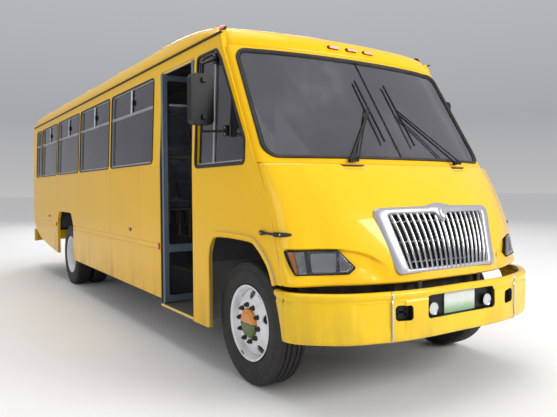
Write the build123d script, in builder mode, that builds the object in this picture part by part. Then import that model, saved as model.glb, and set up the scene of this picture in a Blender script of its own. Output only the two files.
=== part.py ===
from build123d import *
import os
from math import cos, sin, radians, sqrt

os.makedirs("parts", exist_ok=True)

# ------------------------------------------------------------------ driving dimensions (mm)
# stations along the bus are given behind the front axle; +Y is rearward, +Z up, the door is on -X
FRONT, REAR = -1120.0, 8830.0      # face of the front bumper, face of the rear bumper
YA = -(FRONT + REAR) / 2           # station of the front axle in the part frame
WB = 5880.0                        # wheelbase
HW = 1250.0                        # half width at the skirt and belt
WALL = 45.0                        # side wall, as thick as the whole wall
SKIRT, BELT, DRIP = 440.0, 1790.0, 2820.0
LEAN = 42.0                        # each side leans in by this much from belt to drip rail
ROOF_R, CROWN = 265.0, 3106.0      # cove radius and crown height
FLOOR = 950.0                      # cabin floor
BODY_END = 8770.0                  # rear wall
CORNER = 150.0                     # rear corner radius
COWL_LOW = 355.0                   # lower edge of the front side panels and door sill

TYRE_R, TYRE_W = 487.0, 245.0      # 22.5 inch commercial tyre
RIM_R, BEAD_R = 298.0, 285.0       # rim flange and bead seat
TRACK_F = 1047.0                   # front tyre middle plane, from the centre plane
TRACK_RO, TRACK_RI = 1047.0, 767.0 # rear twin tyre middle planes
KINGPIN = 945.0
ARM = 210.0                        # steering arm length
AXLE_Z = TYRE_R

DOOR_F, DOOR_R = 830.0, 1615.0     # door opening
DOOR_LOW, DOOR_TOP = 395.0, 2690.0
LEAF, LEAF_T = 365.0, 30.0         # one door leaf, from its hinge axis, and its thickness
HINGE_X, HINGE_IN = 1217.0, 23.0   # hinge axis from the centre plane and from its jamb

HOOD_Y, HOOD_Z = -1020.0, 800.0    # tilt axis of the nose

# plan sections of the nose: height, half width, centre y, knee x, knee y, corner middle x, y, side y
NOSE = (
    (872.0, 1250.0, -1015.0, 520.0, -985.0, 960.0, -830.0, -625.0),
    (1380.0, 1250.0, -880.0, 600.0, -822.0, 1010.0, -685.0, -475.0),
    (1722.0, 1246.0, -612.0, 700.0, -565.0, 1060.0, -465.0, -312.0),
)
# plan sections of the windscreen, same columns
SCREEN = (
    (1722.0, 1240.0, -552.0, 700.0, -492.0, 1010.0, -405.0, -285.0),
    (2700.0, 1192.0, 98.0, 660.0, 138.0, 960.0, 194.0, 290.0),
)
# plan section of the front bumper, same columns, at mid height
BUMPER = (660.0, 1262.0, -1120.0, 640.0, -1085.0, 1045.0, -925.0, -640.0)
BUMP_LOW, BUMP_TOP = 478.0, 842.0

# side windows: front y, rear y
BAYS = ((1815.0, 3290.0), (3372.0, 4850.0), (4932.0, 6360.0), (6442.0, 7755.0), (7838.0, 8290.0))
LEFT_BAY = (900.0, 1722.0)         # extra bay on the side without a door
WIN_LOW, WIN_TOP, TRANSOM = 1808.0, 2700.0, 2400.0


def Y(v):
    return YA + v


# ------------------------------------------------------------------ shapes used many times
def box(x0, x1, y0, y1, z0, z1, mode=Mode.ADD):
    with Locations(((x0 + x1) / 2, Y((y0 + y1) / 2), (z0 + z1) / 2)):
        Box(abs(x1 - x0), abs(y1 - y0), abs(z1 - z0), mode=mode)


def slab_x(pts, x0, x1, mode=Mode.ADD, r=0):
    """outline of (y, z) points pushed from x0 to x1"""
    with BuildSketch(Plane.YZ.offset(x0)) as sk:
        with BuildLine():
            Polyline(*[(Y(y), z) for y, z in pts], close=True)
        make_face()
        if r:
            fillet(sk.vertices(), r)
    extrude(sk.sketch, amount=x1 - x0, mode=mode)


def slab_y(pts, y0, y1, mode=Mode.ADD, r=0):
    """outline of (x, z) points pushed from y0 to y1"""
    with BuildSketch(Plane.XZ.offset(-Y(y1))) as sk:
        with BuildLine():
            Polyline(*pts, close=True)
        make_face()
        if r:
            fillet(sk.vertices(), r)
    extrude(sk.sketch, amount=y1 - y0, mode=mode)


def slab_z(pts, z0, z1, mode=Mode.ADD, r=0):
    """outline of (x, y) points pushed from z0 to z1"""
    with BuildSketch(Plane.XY.offset(z0)) as sk:
        with BuildLine():
            Polyline(*[(x, Y(y)) for x, y in pts], close=True)
        make_face()
        if r:
            fillet(sk.vertices(), r)
    extrude(sk.sketch, amount=z1 - z0, mode=mode)


def rod(p, q, r, mode=Mode.ADD):
    """round bar between two points"""
    a, b = Vector(p[0], Y(p[1]), p[2]), Vector(q[0], Y(q[1]), q[2])
    with BuildSketch(Plane(origin=a, z_dir=b - a)) as sk:
        Circle(r)
    extrude(sk.sketch, amount=(b - a).length, mode=mode)


def disc_x(x0, x1, y, z, r, mode=Mode.ADD):
    rod((x0, y, z), (x1, y, z), r, mode)


def plan(sec, back, dy=0.0, dx=0.0, z=None):
    """closed plan section: curved front, straight sides, straight back; dy pushes the front rearward, dx narrows it"""
    h, hw, yc, kx, ky, mx, my, sy = sec
    with BuildSketch(Plane.XY.offset(h if z is None else z)) as sk:
        with BuildLine():
            ThreePointArc((-kx, Y(ky + dy)), (0, Y(yc + dy)), (kx, Y(ky + dy)))
            ThreePointArc((kx, Y(ky + dy)), (mx - 0.6 * dx, Y(my + dy - 0.15 * dx)), (hw - dx, Y(sy + dy)))
            Line((hw - dx, Y(sy + dy)), (hw - dx, Y(back)))
            Line((hw - dx, Y(back)), (-hw + dx, Y(back)))
            Line((-hw + dx, Y(back)), (-hw + dx, Y(sy + dy)))
            ThreePointArc((-hw + dx, Y(sy + dy)), (-mx + 0.6 * dx, Y(my + dy - 0.15 * dx)), (-kx, Y(ky + dy)))
        make_face()
    return sk.sketch


def nose(secs, back, dy=0.0, dx=0.0, mode=Mode.ADD):
    for a, b in zip(secs[:-1], secs[1:]):
        loft([plan(a, back, dy, dx).face(), plan(b, back, dy, dx).face()], ruled=True, mode=mode)


def side_x(z, off=0.0):
    """outer face of the side wall at a height"""
    return HW - off - (LEAN * (z - BELT) / (DRIP - BELT) if z > BELT else 0.0)


def roof_outline(off):
    """cross section of the body above the belt, shrunk by a wall"""
    r = ROOF_R - off
    a0, a1 = radians(2.3), radians(86.0)
    cx, cz = side_x(DRIP) - ROOF_R * cos(a0), DRIP - ROOF_R * sin(a0)
    am = (a0 + a1) / 2
    return ((cx + r * cos(a0), cz + r * sin(a0)), (cx + r * cos(am), cz + r * sin(am)),
            (cx + r * cos(a1), cz + r * sin(a1)), CROWN - off)


def roof_section(y0, y1, off, low, mode=Mode.ADD):
    p0, pm, p1, top = roof_outline(off)
    xl = side_x(low, off)
    with BuildSketch(Plane.XZ.offset(-Y(y1))) as sk:
        with BuildLine():
            Line((-xl, low), (xl, low))
            Line((xl, low), p0)
            ThreePointArc(p0, pm, p1)
            ThreePointArc(p1, (0, top), (-p1[0], p1[1]))
            ThreePointArc((-p1[0], p1[1]), (-pm[0], pm[1]), (-p0[0], p0[1]))
            Line((-p0[0], p0[1]), (-xl, low))
        make_face()
    extrude(sk.sketch, amount=y1 - y0, mode=mode)


def roof_profile(off, low, mode=Mode.INTERSECT):
    """side profile of the roof: brow over the windscreen, crown, rear dome"""
    low = min(low, 2600)
    with BuildSketch(Plane.YZ.offset(-1400)) as sk:
        with BuildLine():
            Line((Y(98 + off), low), (Y(98 + off), 2700))
            ThreePointArc((Y(98 + off), 2700), (Y(158 + off), 2815 - off * 0.5), (Y(300 + off), 2890 - off))
            ThreePointArc((Y(300 + off), 2890 - off), (Y(1080), 3048 - off), (Y(1900), CROWN + 2 - off))
            Line((Y(1900), CROWN + 2 - off), (Y(8050), CROWN + 2 - off))
            ThreePointArc((Y(8050), CROWN + 2 - off), (Y(8560 - off), 2985 - off), (Y(BODY_END - off), 2640))
            Line((Y(BODY_END - off), 2640), (Y(BODY_END - off), low))
            Line((Y(BODY_END - off), low), (Y(98 + off), low))
        make_face()
    extrude(sk.sketch, amount=2800, mode=mode)


def arch(yc, w, top, low=250.0):
    """wheel arch outline: upright sides, flat crown, broad corners"""
    return ((yc - w, low), (yc - w, top - 180), (yc - w + 120, top - 25), (yc - w + 190, top),
            (yc + w - 190, top), (yc + w - 120, top - 25), (yc + w, top - 180), (yc + w, low))


# ------------------------------------------------------------------ side walls, one set for each side
SIDES = (("right", -1), ("left", 1))
REAR_LOW = ((6460.0, 470.0), (7200.0, 535.0), (8000.0, 640.0), (8450.0, 800.0), (BODY_END - CORNER, 900.0))

for side, s in SIDES:
    # lower panel, from the front side panel to the rear corner, with the rear arch
    start = DOOR_R if s < 0 else 760.0
    with BuildPart() as lower:
        slab_x(((start, SKIRT), *REAR_LOW, (BODY_END - CORNER, BELT), (start, BELT)), s * HW, s * (HW - WALL))
        slab_x(arch(WB, 560.0, 1190.0), s * (HW + 20), s * (HW - 90), Mode.SUBTRACT)
    lower.part.label = f"{side}_lower_panel"
    export_step(lower.part, f"parts/{side}_lower_panel.step")

    # window band, leaning in towards the drip rail, with its openings
    bays = BAYS if s < 0 else (LEFT_BAY,) + BAYS
    with BuildPart() as band:
        slab_y(((s * HW, BELT), (s * (HW - LEAN), DRIP), (s * (HW - LEAN - WALL), DRIP), (s * (HW - WALL), BELT)),
               start, BODY_END - CORNER)
        for f, r in bays:
            slab_x(((f, WIN_LOW), (r, WIN_LOW), (r, WIN_TOP), (f, WIN_TOP)), s * 1100, s * 1300, Mode.SUBTRACT, 45)
    band.part.label = f"{side}_window_band"
    export_step(band.part, f"parts/{side}_window_band.step")

    # aluminium window frames: ring and transom in every bay
    rings = []
    for f, r in bays:
        with BuildPart() as ring:
            slab_y(((s * (HW - 6), BELT), (s * (HW - 6 - LEAN), DRIP), (s * (HW - 34 - LEAN), DRIP), (s * (HW - 34), BELT)), f + 1, r - 1)
            slab_x(((f + 1, WIN_LOW + 1), (r - 1, WIN_LOW + 1), (r - 1, WIN_TOP - 1), (f + 1, WIN_TOP - 1)),
                   s * 1100, s * 1300, Mode.INTERSECT, 44)
            slab_x(((f + 27, WIN_LOW + 27), (r - 27, WIN_LOW + 27), (r - 27, TRANSOM - 16), (f + 27, TRANSOM - 16)),
                   s * 1100, s * 1300, Mode.SUBTRACT, 22)
            slab_x(((f + 27, TRANSOM + 16), (r - 27, TRANSOM + 16), (r - 27, WIN_TOP - 27), (f + 27, WIN_TOP - 27)),
                   s * 1100, s * 1300, Mode.SUBTRACT, 22)
        rings.append(ring.part)
    with BuildPart() as frames:
        for one in rings:
            add(one)
    frames.part.label = f"{side}_window_frames"
    export_step(frames.part, f"parts/{side}_window_frames.step")

    # panes: one fixed pane below and one sliding pane above in every bay, and the corner pane of the cab
    panes = []
    outlines = [((f + 28, c), (r - 28, c), (r - 28, d), (f + 28, d)) for f, r in bays
                for c, d in ((WIN_LOW + 28, TRANSOM - 17), (TRANSOM + 17, WIN_TOP - 28))]
    outlines.append(((-88, 1762), (722, 1762), (722, 2660), (395, 2660), (330, 2580), (-88, 1905)))
    for line in outlines:
        f, r = min(p[0] for p in line), max(p[0] for p in line)
        with BuildPart() as pane:
            slab_y(((s * (HW - 22), 1600), (s * (HW - 22), BELT), (s * (HW - 22 - LEAN), DRIP),
                    (s * (HW - 28 - LEAN), DRIP), (s * (HW - 28), BELT), (s * (HW - 28), 1600)), f, r)
            slab_x(line, s * 1100, s * 1300, Mode.INTERSECT, 20)
        panes.append(pane.part)
    with BuildPart() as glass:
        for one in panes:
            add(one)
    glass.part.label = f"{side}_window_glass"
    export_step(glass.part, f"parts/{side}_window_glass.step")

    # front side panel: windscreen pillar, cab window, front wheel arch and flared lip
    back = DOOR_F if s < 0 else 760.0
    with BuildPart() as cowl:
        slab_y(((s * HW, COWL_LOW), (s * HW, BELT), (s * (HW - LEAN), DRIP), (s * (HW - LEAN - WALL), DRIP),
                (s * (HW - WALL), BELT), (s * (HW - WALL), COWL_LOW)), -700, back)
        slab_x(((530, COWL_LOW), (back, COWL_LOW), (back, DRIP), (330, DRIP), (290, 2700), (-285, 1722),
                (-312, 1715), (-460, 1434), (-560, 1119), (-625, 905), (-615, 872), (-548, 872), (-470, 1010), (-300, 1145),
                (-150, 1182), (340, 1182), (470, 1120), (530, 990)), s * 1100, s * 1300, Mode.INTERSECT)
        slab_x(((-118, 1732), (752, 1732), (752, 2690), (388, 2690), (300, 2590), (-118, 1912)), s * 1100, s * 1300,
               Mode.SUBTRACT, 30)
        if s < 0:
            # header over the door
            slab_y(((s * side_x(2712), 2712), (s * (HW - LEAN), DRIP), (s * (HW - LEAN - WALL), DRIP), (s * side_x(2712, WALL), 2712)),
                   DOOR_F - 5, DOOR_R)
    cowl.part.label = f"{side}_front_side"
    export_step(cowl.part, f"parts/{side}_front_side.step")

# ------------------------------------------------------------------ roof, front cap with windscreen surround, rear wall
CAP = 620.0
with BuildPart() as roof_room:
    roof_section(CAP - 100, BODY_END, WALL, DRIP - 60)
    roof_profile(WALL, DRIP - 60)
with BuildPart() as roof:
    roof_section(CAP, BODY_END - CORNER, 0, DRIP - 4)
    roof_profile(0, DRIP - 4)
    box(-1300, 1300, 0, BODY_END, DRIP - 10, DRIP, Mode.SUBTRACT)
    add(roof_room.part, mode=Mode.SUBTRACT)
roof.part.label = "roof"
export_step(roof.part, "parts/roof.step")

# dome above the screen, its hollow, the surround of the screen and the scuttle below it
with BuildPart() as cap_plan:
    extrude(plan(SCREEN[1], CAP, z=2690), amount=450)
with BuildPart() as cap_plan_in:
    extrude(plan(SCREEN[1], CAP + 80, dy=60, dx=50, z=2600), amount=600)
with BuildPart() as cap_room:
    roof_section(60, CAP + 50, WALL, 2650)
    roof_profile(WALL + 20, 2650)
    add(cap_plan_in.part, mode=Mode.INTERSECT)
with BuildPart() as ring_room:
    nose(SCREEN, 700, dy=52, dx=50)
    box(-1150, 1150, -200, 700, 2690, 2720)
with BuildPart() as ring:
    nose(SCREEN, 600)
    add(ring_room.part, mode=Mode.SUBTRACT)
    slab_x(((-700, 1722), (-287, 1722), (288, 2699), (288, 2702), (-700, 2702)), -1300, 1300, Mode.INTERSECT)
    slab_y(((-1188, 1770), (1188, 1770), (1140, 2640), (-1140, 2640)), -800, 500, Mode.SUBTRACT, 90)
with BuildPart() as scuttle_room:
    extrude(plan(NOSE[2], -100, dy=170, dx=90, z=1600), amount=200)
with BuildPart() as scuttle:
    extrude(plan(NOSE[2], -240, dy=38, dx=47, z=1672), amount=50)
    add(scuttle_room.part, mode=Mode.SUBTRACT)
with BuildPart() as cap:
    roof_section(0, CAP, 0, 2700)
    roof_profile(0, 2700)
    add(cap_plan.part, mode=Mode.INTERSECT)
    add(cap_room.part, mode=Mode.SUBTRACT)
    box(-1400, 1400, 288, CAP + 1, 2600, DRIP, Mode.SUBTRACT)
    add(ring.part)
    add(scuttle.part)
cap.part.label = "front_cap"
export_step(cap.part, "parts/front_cap.step")

with BuildPart() as screen_room:
    nose(SCREEN, 700, dy=24, dx=20)
with BuildPart() as screen:
    nose(SCREEN, 600, dy=14, dx=10)
    add(screen_room.part, mode=Mode.SUBTRACT)
    slab_y(((-1186, 1772), (1186, 1772), (1138, 2638), (-1138, 2638)), -800, 500, Mode.INTERSECT, 88)
screen.part.label = "windscreen"
export_step(screen.part, "parts/windscreen.step")

with BuildPart() as rear_box:
    roof_section(BODY_END - CORNER - 10, BODY_END + 10, 0, BELT)
    box(-HW, HW, BODY_END - CORNER - 10, BODY_END + 10, SKIRT, BELT + 1)
with BuildPart() as rear_room:
    roof_section(BODY_END - 2 * CORNER, BODY_END + 10, WALL, BELT)
    box(-HW + WALL, HW - WALL, BODY_END - 2 * CORNER, BODY_END + 10, SKIRT - 10, BELT + 1)
    roof_profile(WALL, SKIRT - 10)
with BuildPart() as rear:
    box(-HW, HW, BODY_END - CORNER, BODY_END, SKIRT, CROWN)
    fillet(rear.edges().filter_by(Axis.Z).group_by(Axis.Y)[-1], CORNER - 1)
    add(rear_box.part, mode=Mode.INTERSECT)
    roof_profile(0, SKIRT)
    add(rear_room.part, mode=Mode.SUBTRACT)
    # tail rises towards the rear bumper
    slab_x(((BODY_END - CORNER - 1, SKIRT - 1), (BODY_END + 1, SKIRT - 1), (BODY_END + 1, 905), (BODY_END - CORNER - 1, 900)), -1300, 1300, Mode.SUBTRACT)
    # rear window
    slab_y(((-930, 1850), (930, 1850), (905, 2600), (-905, 2600)), BODY_END - 90, BODY_END + 20, Mode.SUBTRACT, 90)
rear.part.label = "rear_wall"
export_step(rear.part, "parts/rear_wall.step")

with BuildPart() as rear_glass:
    slab_y(((-928, 1852), (928, 1852), (903, 2598), (-903, 2598)), BODY_END - 24, BODY_END - 14, Mode.ADD, 88)
rear_glass.part.label = "rear_window_glass"
export_step(rear_glass.part, "parts/rear_window_glass.step")

# rub rails along both sides, broken at the arches
with BuildPart() as rails:
    for side, s in SIDES:
        start = DOOR_R + 25 if s < 0 else 700.0
        for a, b in ((start, WB - 640), (WB + 640, BODY_END - CORNER - 20)):
            slab_y(((s * HW, 935), (s * (HW + 12), 945), (s * (HW + 12), 985), (s * HW, 995)), a, b)
rails.part.label = "rub_rails"
export_step(rails.part, "parts/rub_rails.step")

# ------------------------------------------------------------------ floor with the door step well and the wheel housings
HOUSE_IN, HOUSE_TOP = 610.0, 1205.0
HOUSES = ((0.0, 590.0), (WB, 600.0))   # arch middle, half length
STEP_X, STEP2_X = 825.0, 500.0
STEP1, STEP2 = 380.0, 665.0
with BuildPart() as floor:
    box(-HW + WALL + 1, HW - WALL - 1, -300, BODY_END - WALL - 5, FLOOR - 40, FLOOR)
    for yc, h in HOUSES:
        for s in (-1, 1):
            box(s * (HOUSE_IN - 20), s * (HW - WALL), max(yc - h, -310), yc + h, FLOOR - 41, FLOOR + 1, Mode.SUBTRACT)
    box(-HW + WALL, -STEP2_X + 15, DOOR_F - 30, DOOR_R + 30, FLOOR - 41, FLOOR + 1, Mode.SUBTRACT)
    box(-409, 409, -301, 699, FLOOR - 41, FLOOR + 1, Mode.SUBTRACT)
floor.part.label = "floor"
export_step(floor.part, "parts/floor.step")

# boxes over the wheels: top, inner side, ends
with BuildPart() as housings:
    for yc, h in HOUSES:
        for s in (-1, 1):
            f = max(yc - h, -300)
            x0, x1 = s * (HOUSE_IN - 20), s * (HW - WALL - 1)
            box(x0, x1, f, yc + h, HOUSE_TOP - 15, HOUSE_TOP)
            box(x0, s * HOUSE_IN, f, yc + h, FLOOR - 40, HOUSE_TOP)
            box(x0, x1, yc + h - 15, yc + h, FLOOR - 40, HOUSE_TOP)
            if yc > 0:
                box(x0, x1, f, f + 15, FLOOR - 40, HOUSE_TOP)
housings.part.label = "wheel_housings"
export_step(housings.part, "parts/wheel_housings.step")

# step well: two treads, two risers, end walls
with BuildPart() as well:
    box(-HW + 2, -STEP_X, DOOR_F + 2, DOOR_R - 2, STEP1 - 22, STEP1)
    box(-HW + WALL + 1, -STEP_X, DOOR_F - 30, DOOR_R + 30, STEP1 - 22, STEP1)
    box(-STEP_X - 15, -STEP_X, DOOR_F - 30, DOOR_R + 30, STEP1 - 22, STEP2)
    box(-STEP_X - 15, -STEP2_X, DOOR_F - 30, DOOR_R + 30, STEP2 - 22, STEP2)
    box(-STEP2_X, -STEP2_X + 15, DOOR_F - 30, DOOR_R + 30, STEP2 - 22, FLOOR)
    for y0 in (DOOR_F - 30, DOOR_R + 15):
        box(-HW + WALL + 1, -STEP_X, y0, y0 + 15, STEP1 - 22, FLOOR)
        box(-STEP_X - 1, -STEP2_X, y0, y0 + 15, STEP2 - 22, FLOOR)
well.part.label = "step_well"
export_step(well.part, "parts/step_well.step")

# firewall and engine cover inside the cab
with BuildPart() as cover:
    slab_x(((-300, 1395), (600, 1395), (700, 1300), (700, FLOOR + 1), (720, FLOOR + 1), (720, 1310), (610, 1420), (-300, 1420)), -430, 430)
    for s in (-1, 1):
        slab_x(((-300, FLOOR + 1), (720, FLOOR + 1), (720, 1310), (610, 1420), (-300, 1420)), s * 430, s * 410)
        box(s * 430, s * (HW - WALL - 1), -300, -280, HOUSE_TOP + 1, 1660)
cover.part.label = "engine_cover"
export_step(cover.part, "parts/engine_cover.step")

# ------------------------------------------------------------------ chassis
RAIL_IN, RAIL_OUT, RAIL_LOW, RAIL_TOP = 395.0, 465.0, 650.0, 880.0
with BuildPart() as chassis:
    for s in (-1, 1):
        box(s * RAIL_IN, s * RAIL_OUT, -900, 8560, RAIL_LOW, RAIL_TOP)
        box(s * RAIL_IN, s * (RAIL_OUT - 8), -901, 8561, RAIL_LOW + 8, RAIL_TOP - 8, Mode.SUBTRACT)
        # bumper brackets
        box(s * RAIL_IN, s * RAIL_OUT, -1042, -900, 660, 760)
        box(s * RAIL_IN, s * RAIL_OUT, 8560, 8768, 560, 700)
chassis.part.label = "chassis_frame"
export_step(chassis.part, "parts/chassis_frame.step")

# members carried by the rails: cross members between them, outriggers beside them, bearers on them, towing tongues
with BuildPart() as members:
    for y0 in (-900, 1350, 2900, 4500, WB + 900, 8500):
        box(-RAIL_OUT + 8, RAIL_OUT - 8, y0, y0 + 60, RAIL_LOW + 8, RAIL_TOP - 8)
    for y0 in (2050, 3350, 4600, 7100, 8280):
        for s in (-1, 1):
            box(s * RAIL_OUT, s * (HW - WALL - 8), y0, y0 + 50, RAIL_TOP - 60, RAIL_TOP)
    for y0 in (1720, 2700, 3700, 4700, 6600, 7400, 8200):
        box(-HW + WALL + 8, HW - WALL - 8, y0, y0 + 40, RAIL_TOP, FLOOR - 40)
    box(-60, 60, -1010, -860, 622, 652)
    box(-60, 60, 8520, 8700, 622, 652)
    box(-60, 60, -900, -860, 640, 670)
    box(-60, 60, 8520, 8560, 640, 670)
    for y0 in (-960, 8650):
        rod((0, y0, 600), (0, y0, 700), 20.0, Mode.SUBTRACT)
members.part.label = "frame_members"
export_step(members.part, "parts/frame_members.step")

# engine with gearbox, as one plain mass
with BuildPart() as engine:
    slab_x(((-800, 640), (150, 560), (900, 560), (900, 860), (250, 900), (150, 1300), (-700, 1340), (-800, 1250)), -330, 330)
engine.part.label = "engine"
export_step(engine.part, "parts/engine.step")

with BuildPart() as tank:
    with BuildSketch(Plane.XZ.offset(-Y(3700))):
        with Locations((860, 630)):
            RectangleRounded(560, 380, 70)
    extrude(amount=1100)
tank.part.label = "fuel_tank"
export_step(tank.part, "parts/fuel_tank.step")

with BuildPart() as exhaust:
    rod((-700, 2450, 600), (-700, 3450, 600), 115)
    rod((-700, 3440, 600), (-700, 4300, 600), 38)
    rod((-700, 2460, 600), (-700, 2000, 600), 38)
exhaust.part.label = "exhaust"
export_step(exhaust.part, "parts/exhaust.step")

# ------------------------------------------------------------------ axles, springs, shaft
with BuildPart() as beam:
    slab_y(((-870, 470), (-870, 520), (-700, 500), (-560, 440), (560, 440), (700, 500), (870, 520), (870, 470),
            (720, 440), (580, 375), (-580, 375), (-720, 440)), -45, 45)
    for s in (-1, 1):
        box(s * 860, s * KINGPIN, -40, 40, 440, 535)
        rod((s * KINGPIN, 0, 432), (s * KINGPIN, 0, 542), 46)
        rod((s * KINGPIN, 0, 400), (s * KINGPIN, 0, 600), 18.05, Mode.SUBTRACT)
beam.part.label = "front_axle"
export_step(beam.part, "parts/front_axle.step")

with BuildPart() as raxle:
    disc_x(-930, 930, WB, AXLE_Z, 58)
    with Locations((0, Y(WB), AXLE_Z)):
        Sphere(215)
    rod((0, WB - 330, AXLE_Z + 10), (0, WB, AXLE_Z + 10), 70)
raxle.part.label = "rear_axle"
export_step(raxle.part, "parts/rear_axle.step")

with BuildPart() as shaft:
    rod((0, 905, 598), (0, WB - 335, AXLE_Z + 12), 45)
shaft.part.label = "drive_shaft"
export_step(shaft.part, "parts/drive_shaft.step")

SPRINGS = ((0.0, 440.0, 700.0), (WB, 545.0, 760.0))   # axle station, seat height, half length
with BuildPart() as springs:
    for yc, seat, h in SPRINGS:
        for s in (-1, 1):
            slab_x(((yc - h, 650), (yc - h, 612), (yc - 350, 540 if yc == 0 else 575), (yc - 80, seat), (yc + 80, seat),
                    (yc + 350, 540 if yc == 0 else 575), (yc + h, 612), (yc + h, 650), (yc + h - 60, 650),
                    (yc + 350, 600 if yc == 0 else 628), (yc + 80, seat + 75), (yc - 80, seat + 75),
                    (yc - 350, 600 if yc == 0 else 628), (yc - h + 60, 650)), s * 400, s * 470)
springs.part.label = "leaf_springs"
export_step(springs.part, "parts/leaf_springs.step")

# steering knuckles: two lugs on the kingpin, stub axle and a straight arm rearward
for side, s in SIDES:
    with BuildPart() as kn:
        k = s * KINGPIN
        rod((k, 0, 548), (k, 0, 580), 48)
        rod((k, 0, 394), (k, 0, 426), 48)
        rod((k, 0, 394), (k, 0, 580), 18)
        box(k + s * 55, k + s * 85, -55, 55, 394, 580)
        box(k, k + s * 60, -48, 48, 548, 580)
        box(k, k + s * 60, -48, 48, 394, 426)
        disc_x(k + s * 80, k + s * 190, 0, AXLE_Z, 30)
        box(k - 25, k + 25, 20, ARM + 25, 400, 426)
        rod((k, ARM, 371), (k, ARM, 401), 12)
    kn.part.label = f"{side}_knuckle"
    export_step(kn.part, f"parts/{side}_knuckle.step")

with BuildPart() as tie:
    disc_x(-KINGPIN + 20, KINGPIN - 20, ARM, 382, 14)
    for s in (-1, 1):
        rod((s * KINGPIN, ARM, 369), (s * KINGPIN, ARM, 395), 26)
        rod((s * KINGPIN, ARM, 360), (s * KINGPIN, ARM, 402), 12.6, Mode.SUBTRACT)
tie.part.label = "tie_rod"
export_step(tie.part, "parts/tie_rod.step")

# ------------------------------------------------------------------ wheels
def tyre_ring(x, mode=Mode.ADD):
    """one tyre around the wheel axis, middle plane at x"""
    w = TYRE_W / 2
    with BuildSketch(Plane.XY) as sk:
        with BuildLine():
            Line((x - w + 34, BEAD_R), (x + w - 34, BEAD_R))
            ThreePointArc((x + w - 34, BEAD_R), (x + w - 1, 372), (x + w - 14, TYRE_R - 22))
            ThreePointArc((x + w - 14, TYRE_R - 22), (x + w - 22, TYRE_R - 8), (x + w - 42, TYRE_R - 3))
            ThreePointArc((x + w - 42, TYRE_R - 3), (x, TYRE_R), (x - w + 42, TYRE_R - 3))
            ThreePointArc((x - w + 42, TYRE_R - 3), (x - w + 22, TYRE_R - 8), (x - w + 14, TYRE_R - 22))
            ThreePointArc((x - w + 14, TYRE_R - 22), (x - w + 1, 372), (x - w + 34, BEAD_R))
        make_face()
    revolve(sk.sketch, axis=Axis.X, mode=mode)


def ring_profile(pts):
    """closed (x, radius) outline turned about the wheel axis"""
    with BuildSketch(Plane.XY) as sk:
        with BuildLine():
            Polyline(*pts, close=True)
        make_face()
    revolve(sk.sketch, axis=Axis.X)


for side, s in SIDES:
    x = s * TRACK_F
    with BuildPart() as tyre:
        tyre_ring(x)
    tyre_part = tyre.part.moved(Location((0, Y(0), AXLE_Z)))
    tyre_part.label = f"front_{side}_tyre"
    export_step(tyre_part, f"parts/front_{side}_tyre.step")

    w = TYRE_W / 2 - 10
    with BuildPart() as wheel:
        # rim barrel with both flanges
        ring_profile(((x + s * w, 272), (x + s * w, RIM_R), (x + s * (w - 10), RIM_R), (x + s * (w - 16), BEAD_R - 0.3),
                      (x - s * (w - 16), BEAD_R - 0.3), (x - s * (w - 10), RIM_R), (x - s * w, RIM_R), (x - s * w, 272)))
        # disc, set near the outer flange, with hub
        d = x + s * 70
        ring_profile(((d - s * 12, 90), (d - s * 12, 200), (d - s * 30, 273), (d - s * 14, 273), (d, 200), (d, 90)))
        ring_profile(((s * 1045, 31), (s * 1045, 95), (d - s * 12, 110), (d, 110), (d + s * 45, 88), (d + s * 62, 60),
                      (d + s * 62, 0), (s * 1140, 0), (s * 1140, 31)))
        for i in range(5):
            a = radians(72 * i + 20)
            with BuildSketch(Plane.YZ.offset(d - s * 60)):
                with Locations((232 * cos(a), 232 * sin(a))):
                    Circle(24)
            extrude(amount=s * 100, mode=Mode.SUBTRACT)
    wheel_part = wheel.part.moved(Location((0, Y(0), AXLE_Z)))
    wheel_part.label = f"front_{side}_wheel"
    export_step(wheel_part, f"parts/front_{side}_wheel.step")

    with BuildPart() as tyres:
        tyre_ring(s * TRACK_RO)
        tyre_ring(s * TRACK_RI)
    tyres_part = tyres.part.moved(Location((0, Y(WB), AXLE_Z)))
    tyres_part.label = f"rear_{side}_tyres"
    export_step(tyres_part, f"parts/rear_{side}_tyres.step")

    with BuildPart() as twin:
        for xx, e in ((s * TRACK_RO, 1), (s * TRACK_RI, -1)):
            ring_profile(((xx + s * w, 272), (xx + s * w, RIM_R), (xx + s * (w - 10), RIM_R), (xx + s * (w - 16), BEAD_R - 0.3),
                          (xx - s * (w - 16), BEAD_R - 0.3), (xx - s * (w - 10), RIM_R), (xx - s * w, RIM_R), (xx - s * w, 272)))
        m = s * (TRACK_RO + TRACK_RI) / 2
        # two discs meet between the tyres
        ring_profile(((m - s * 12, 90), (m - s * 12, 215), (m - s * 60, 273), (m - s * 44, 273), (m, 225), (m + s * 44, 273),
                      (m + s * 60, 273), (m + s * 12, 215), (m + s * 12, 90)))
        # hub and brake drum
        ring_profile(((m - s * 170, 185), (m - s * 170, 210), (m - s * 20, 210), (m - s * 12, 120), (m + s * 30, 120),
                      (m + s * 60, 92), (m + s * 175, 88), (m + s * 190, 60), (m + s * 190, 0), (m + s * 50, 0),
                      (m + s * 50, 66), (m - s * 30, 66), (m - s * 40, 185)))
        for i in range(5):
            a = radians(72 * i + 40)
            with BuildSketch(Plane.YZ.offset(m - s * 90)):
                with Locations((232 * cos(a), 232 * sin(a))):
                    Circle(22)
            extrude(amount=s * 180, mode=Mode.SUBTRACT)
    twin_part = twin.part.moved(Location((0, Y(WB), AXLE_Z)))
    twin_part.label = f"rear_{side}_wheels"
    export_step(twin_part, f"parts/rear_{side}_wheels.step")

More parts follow.
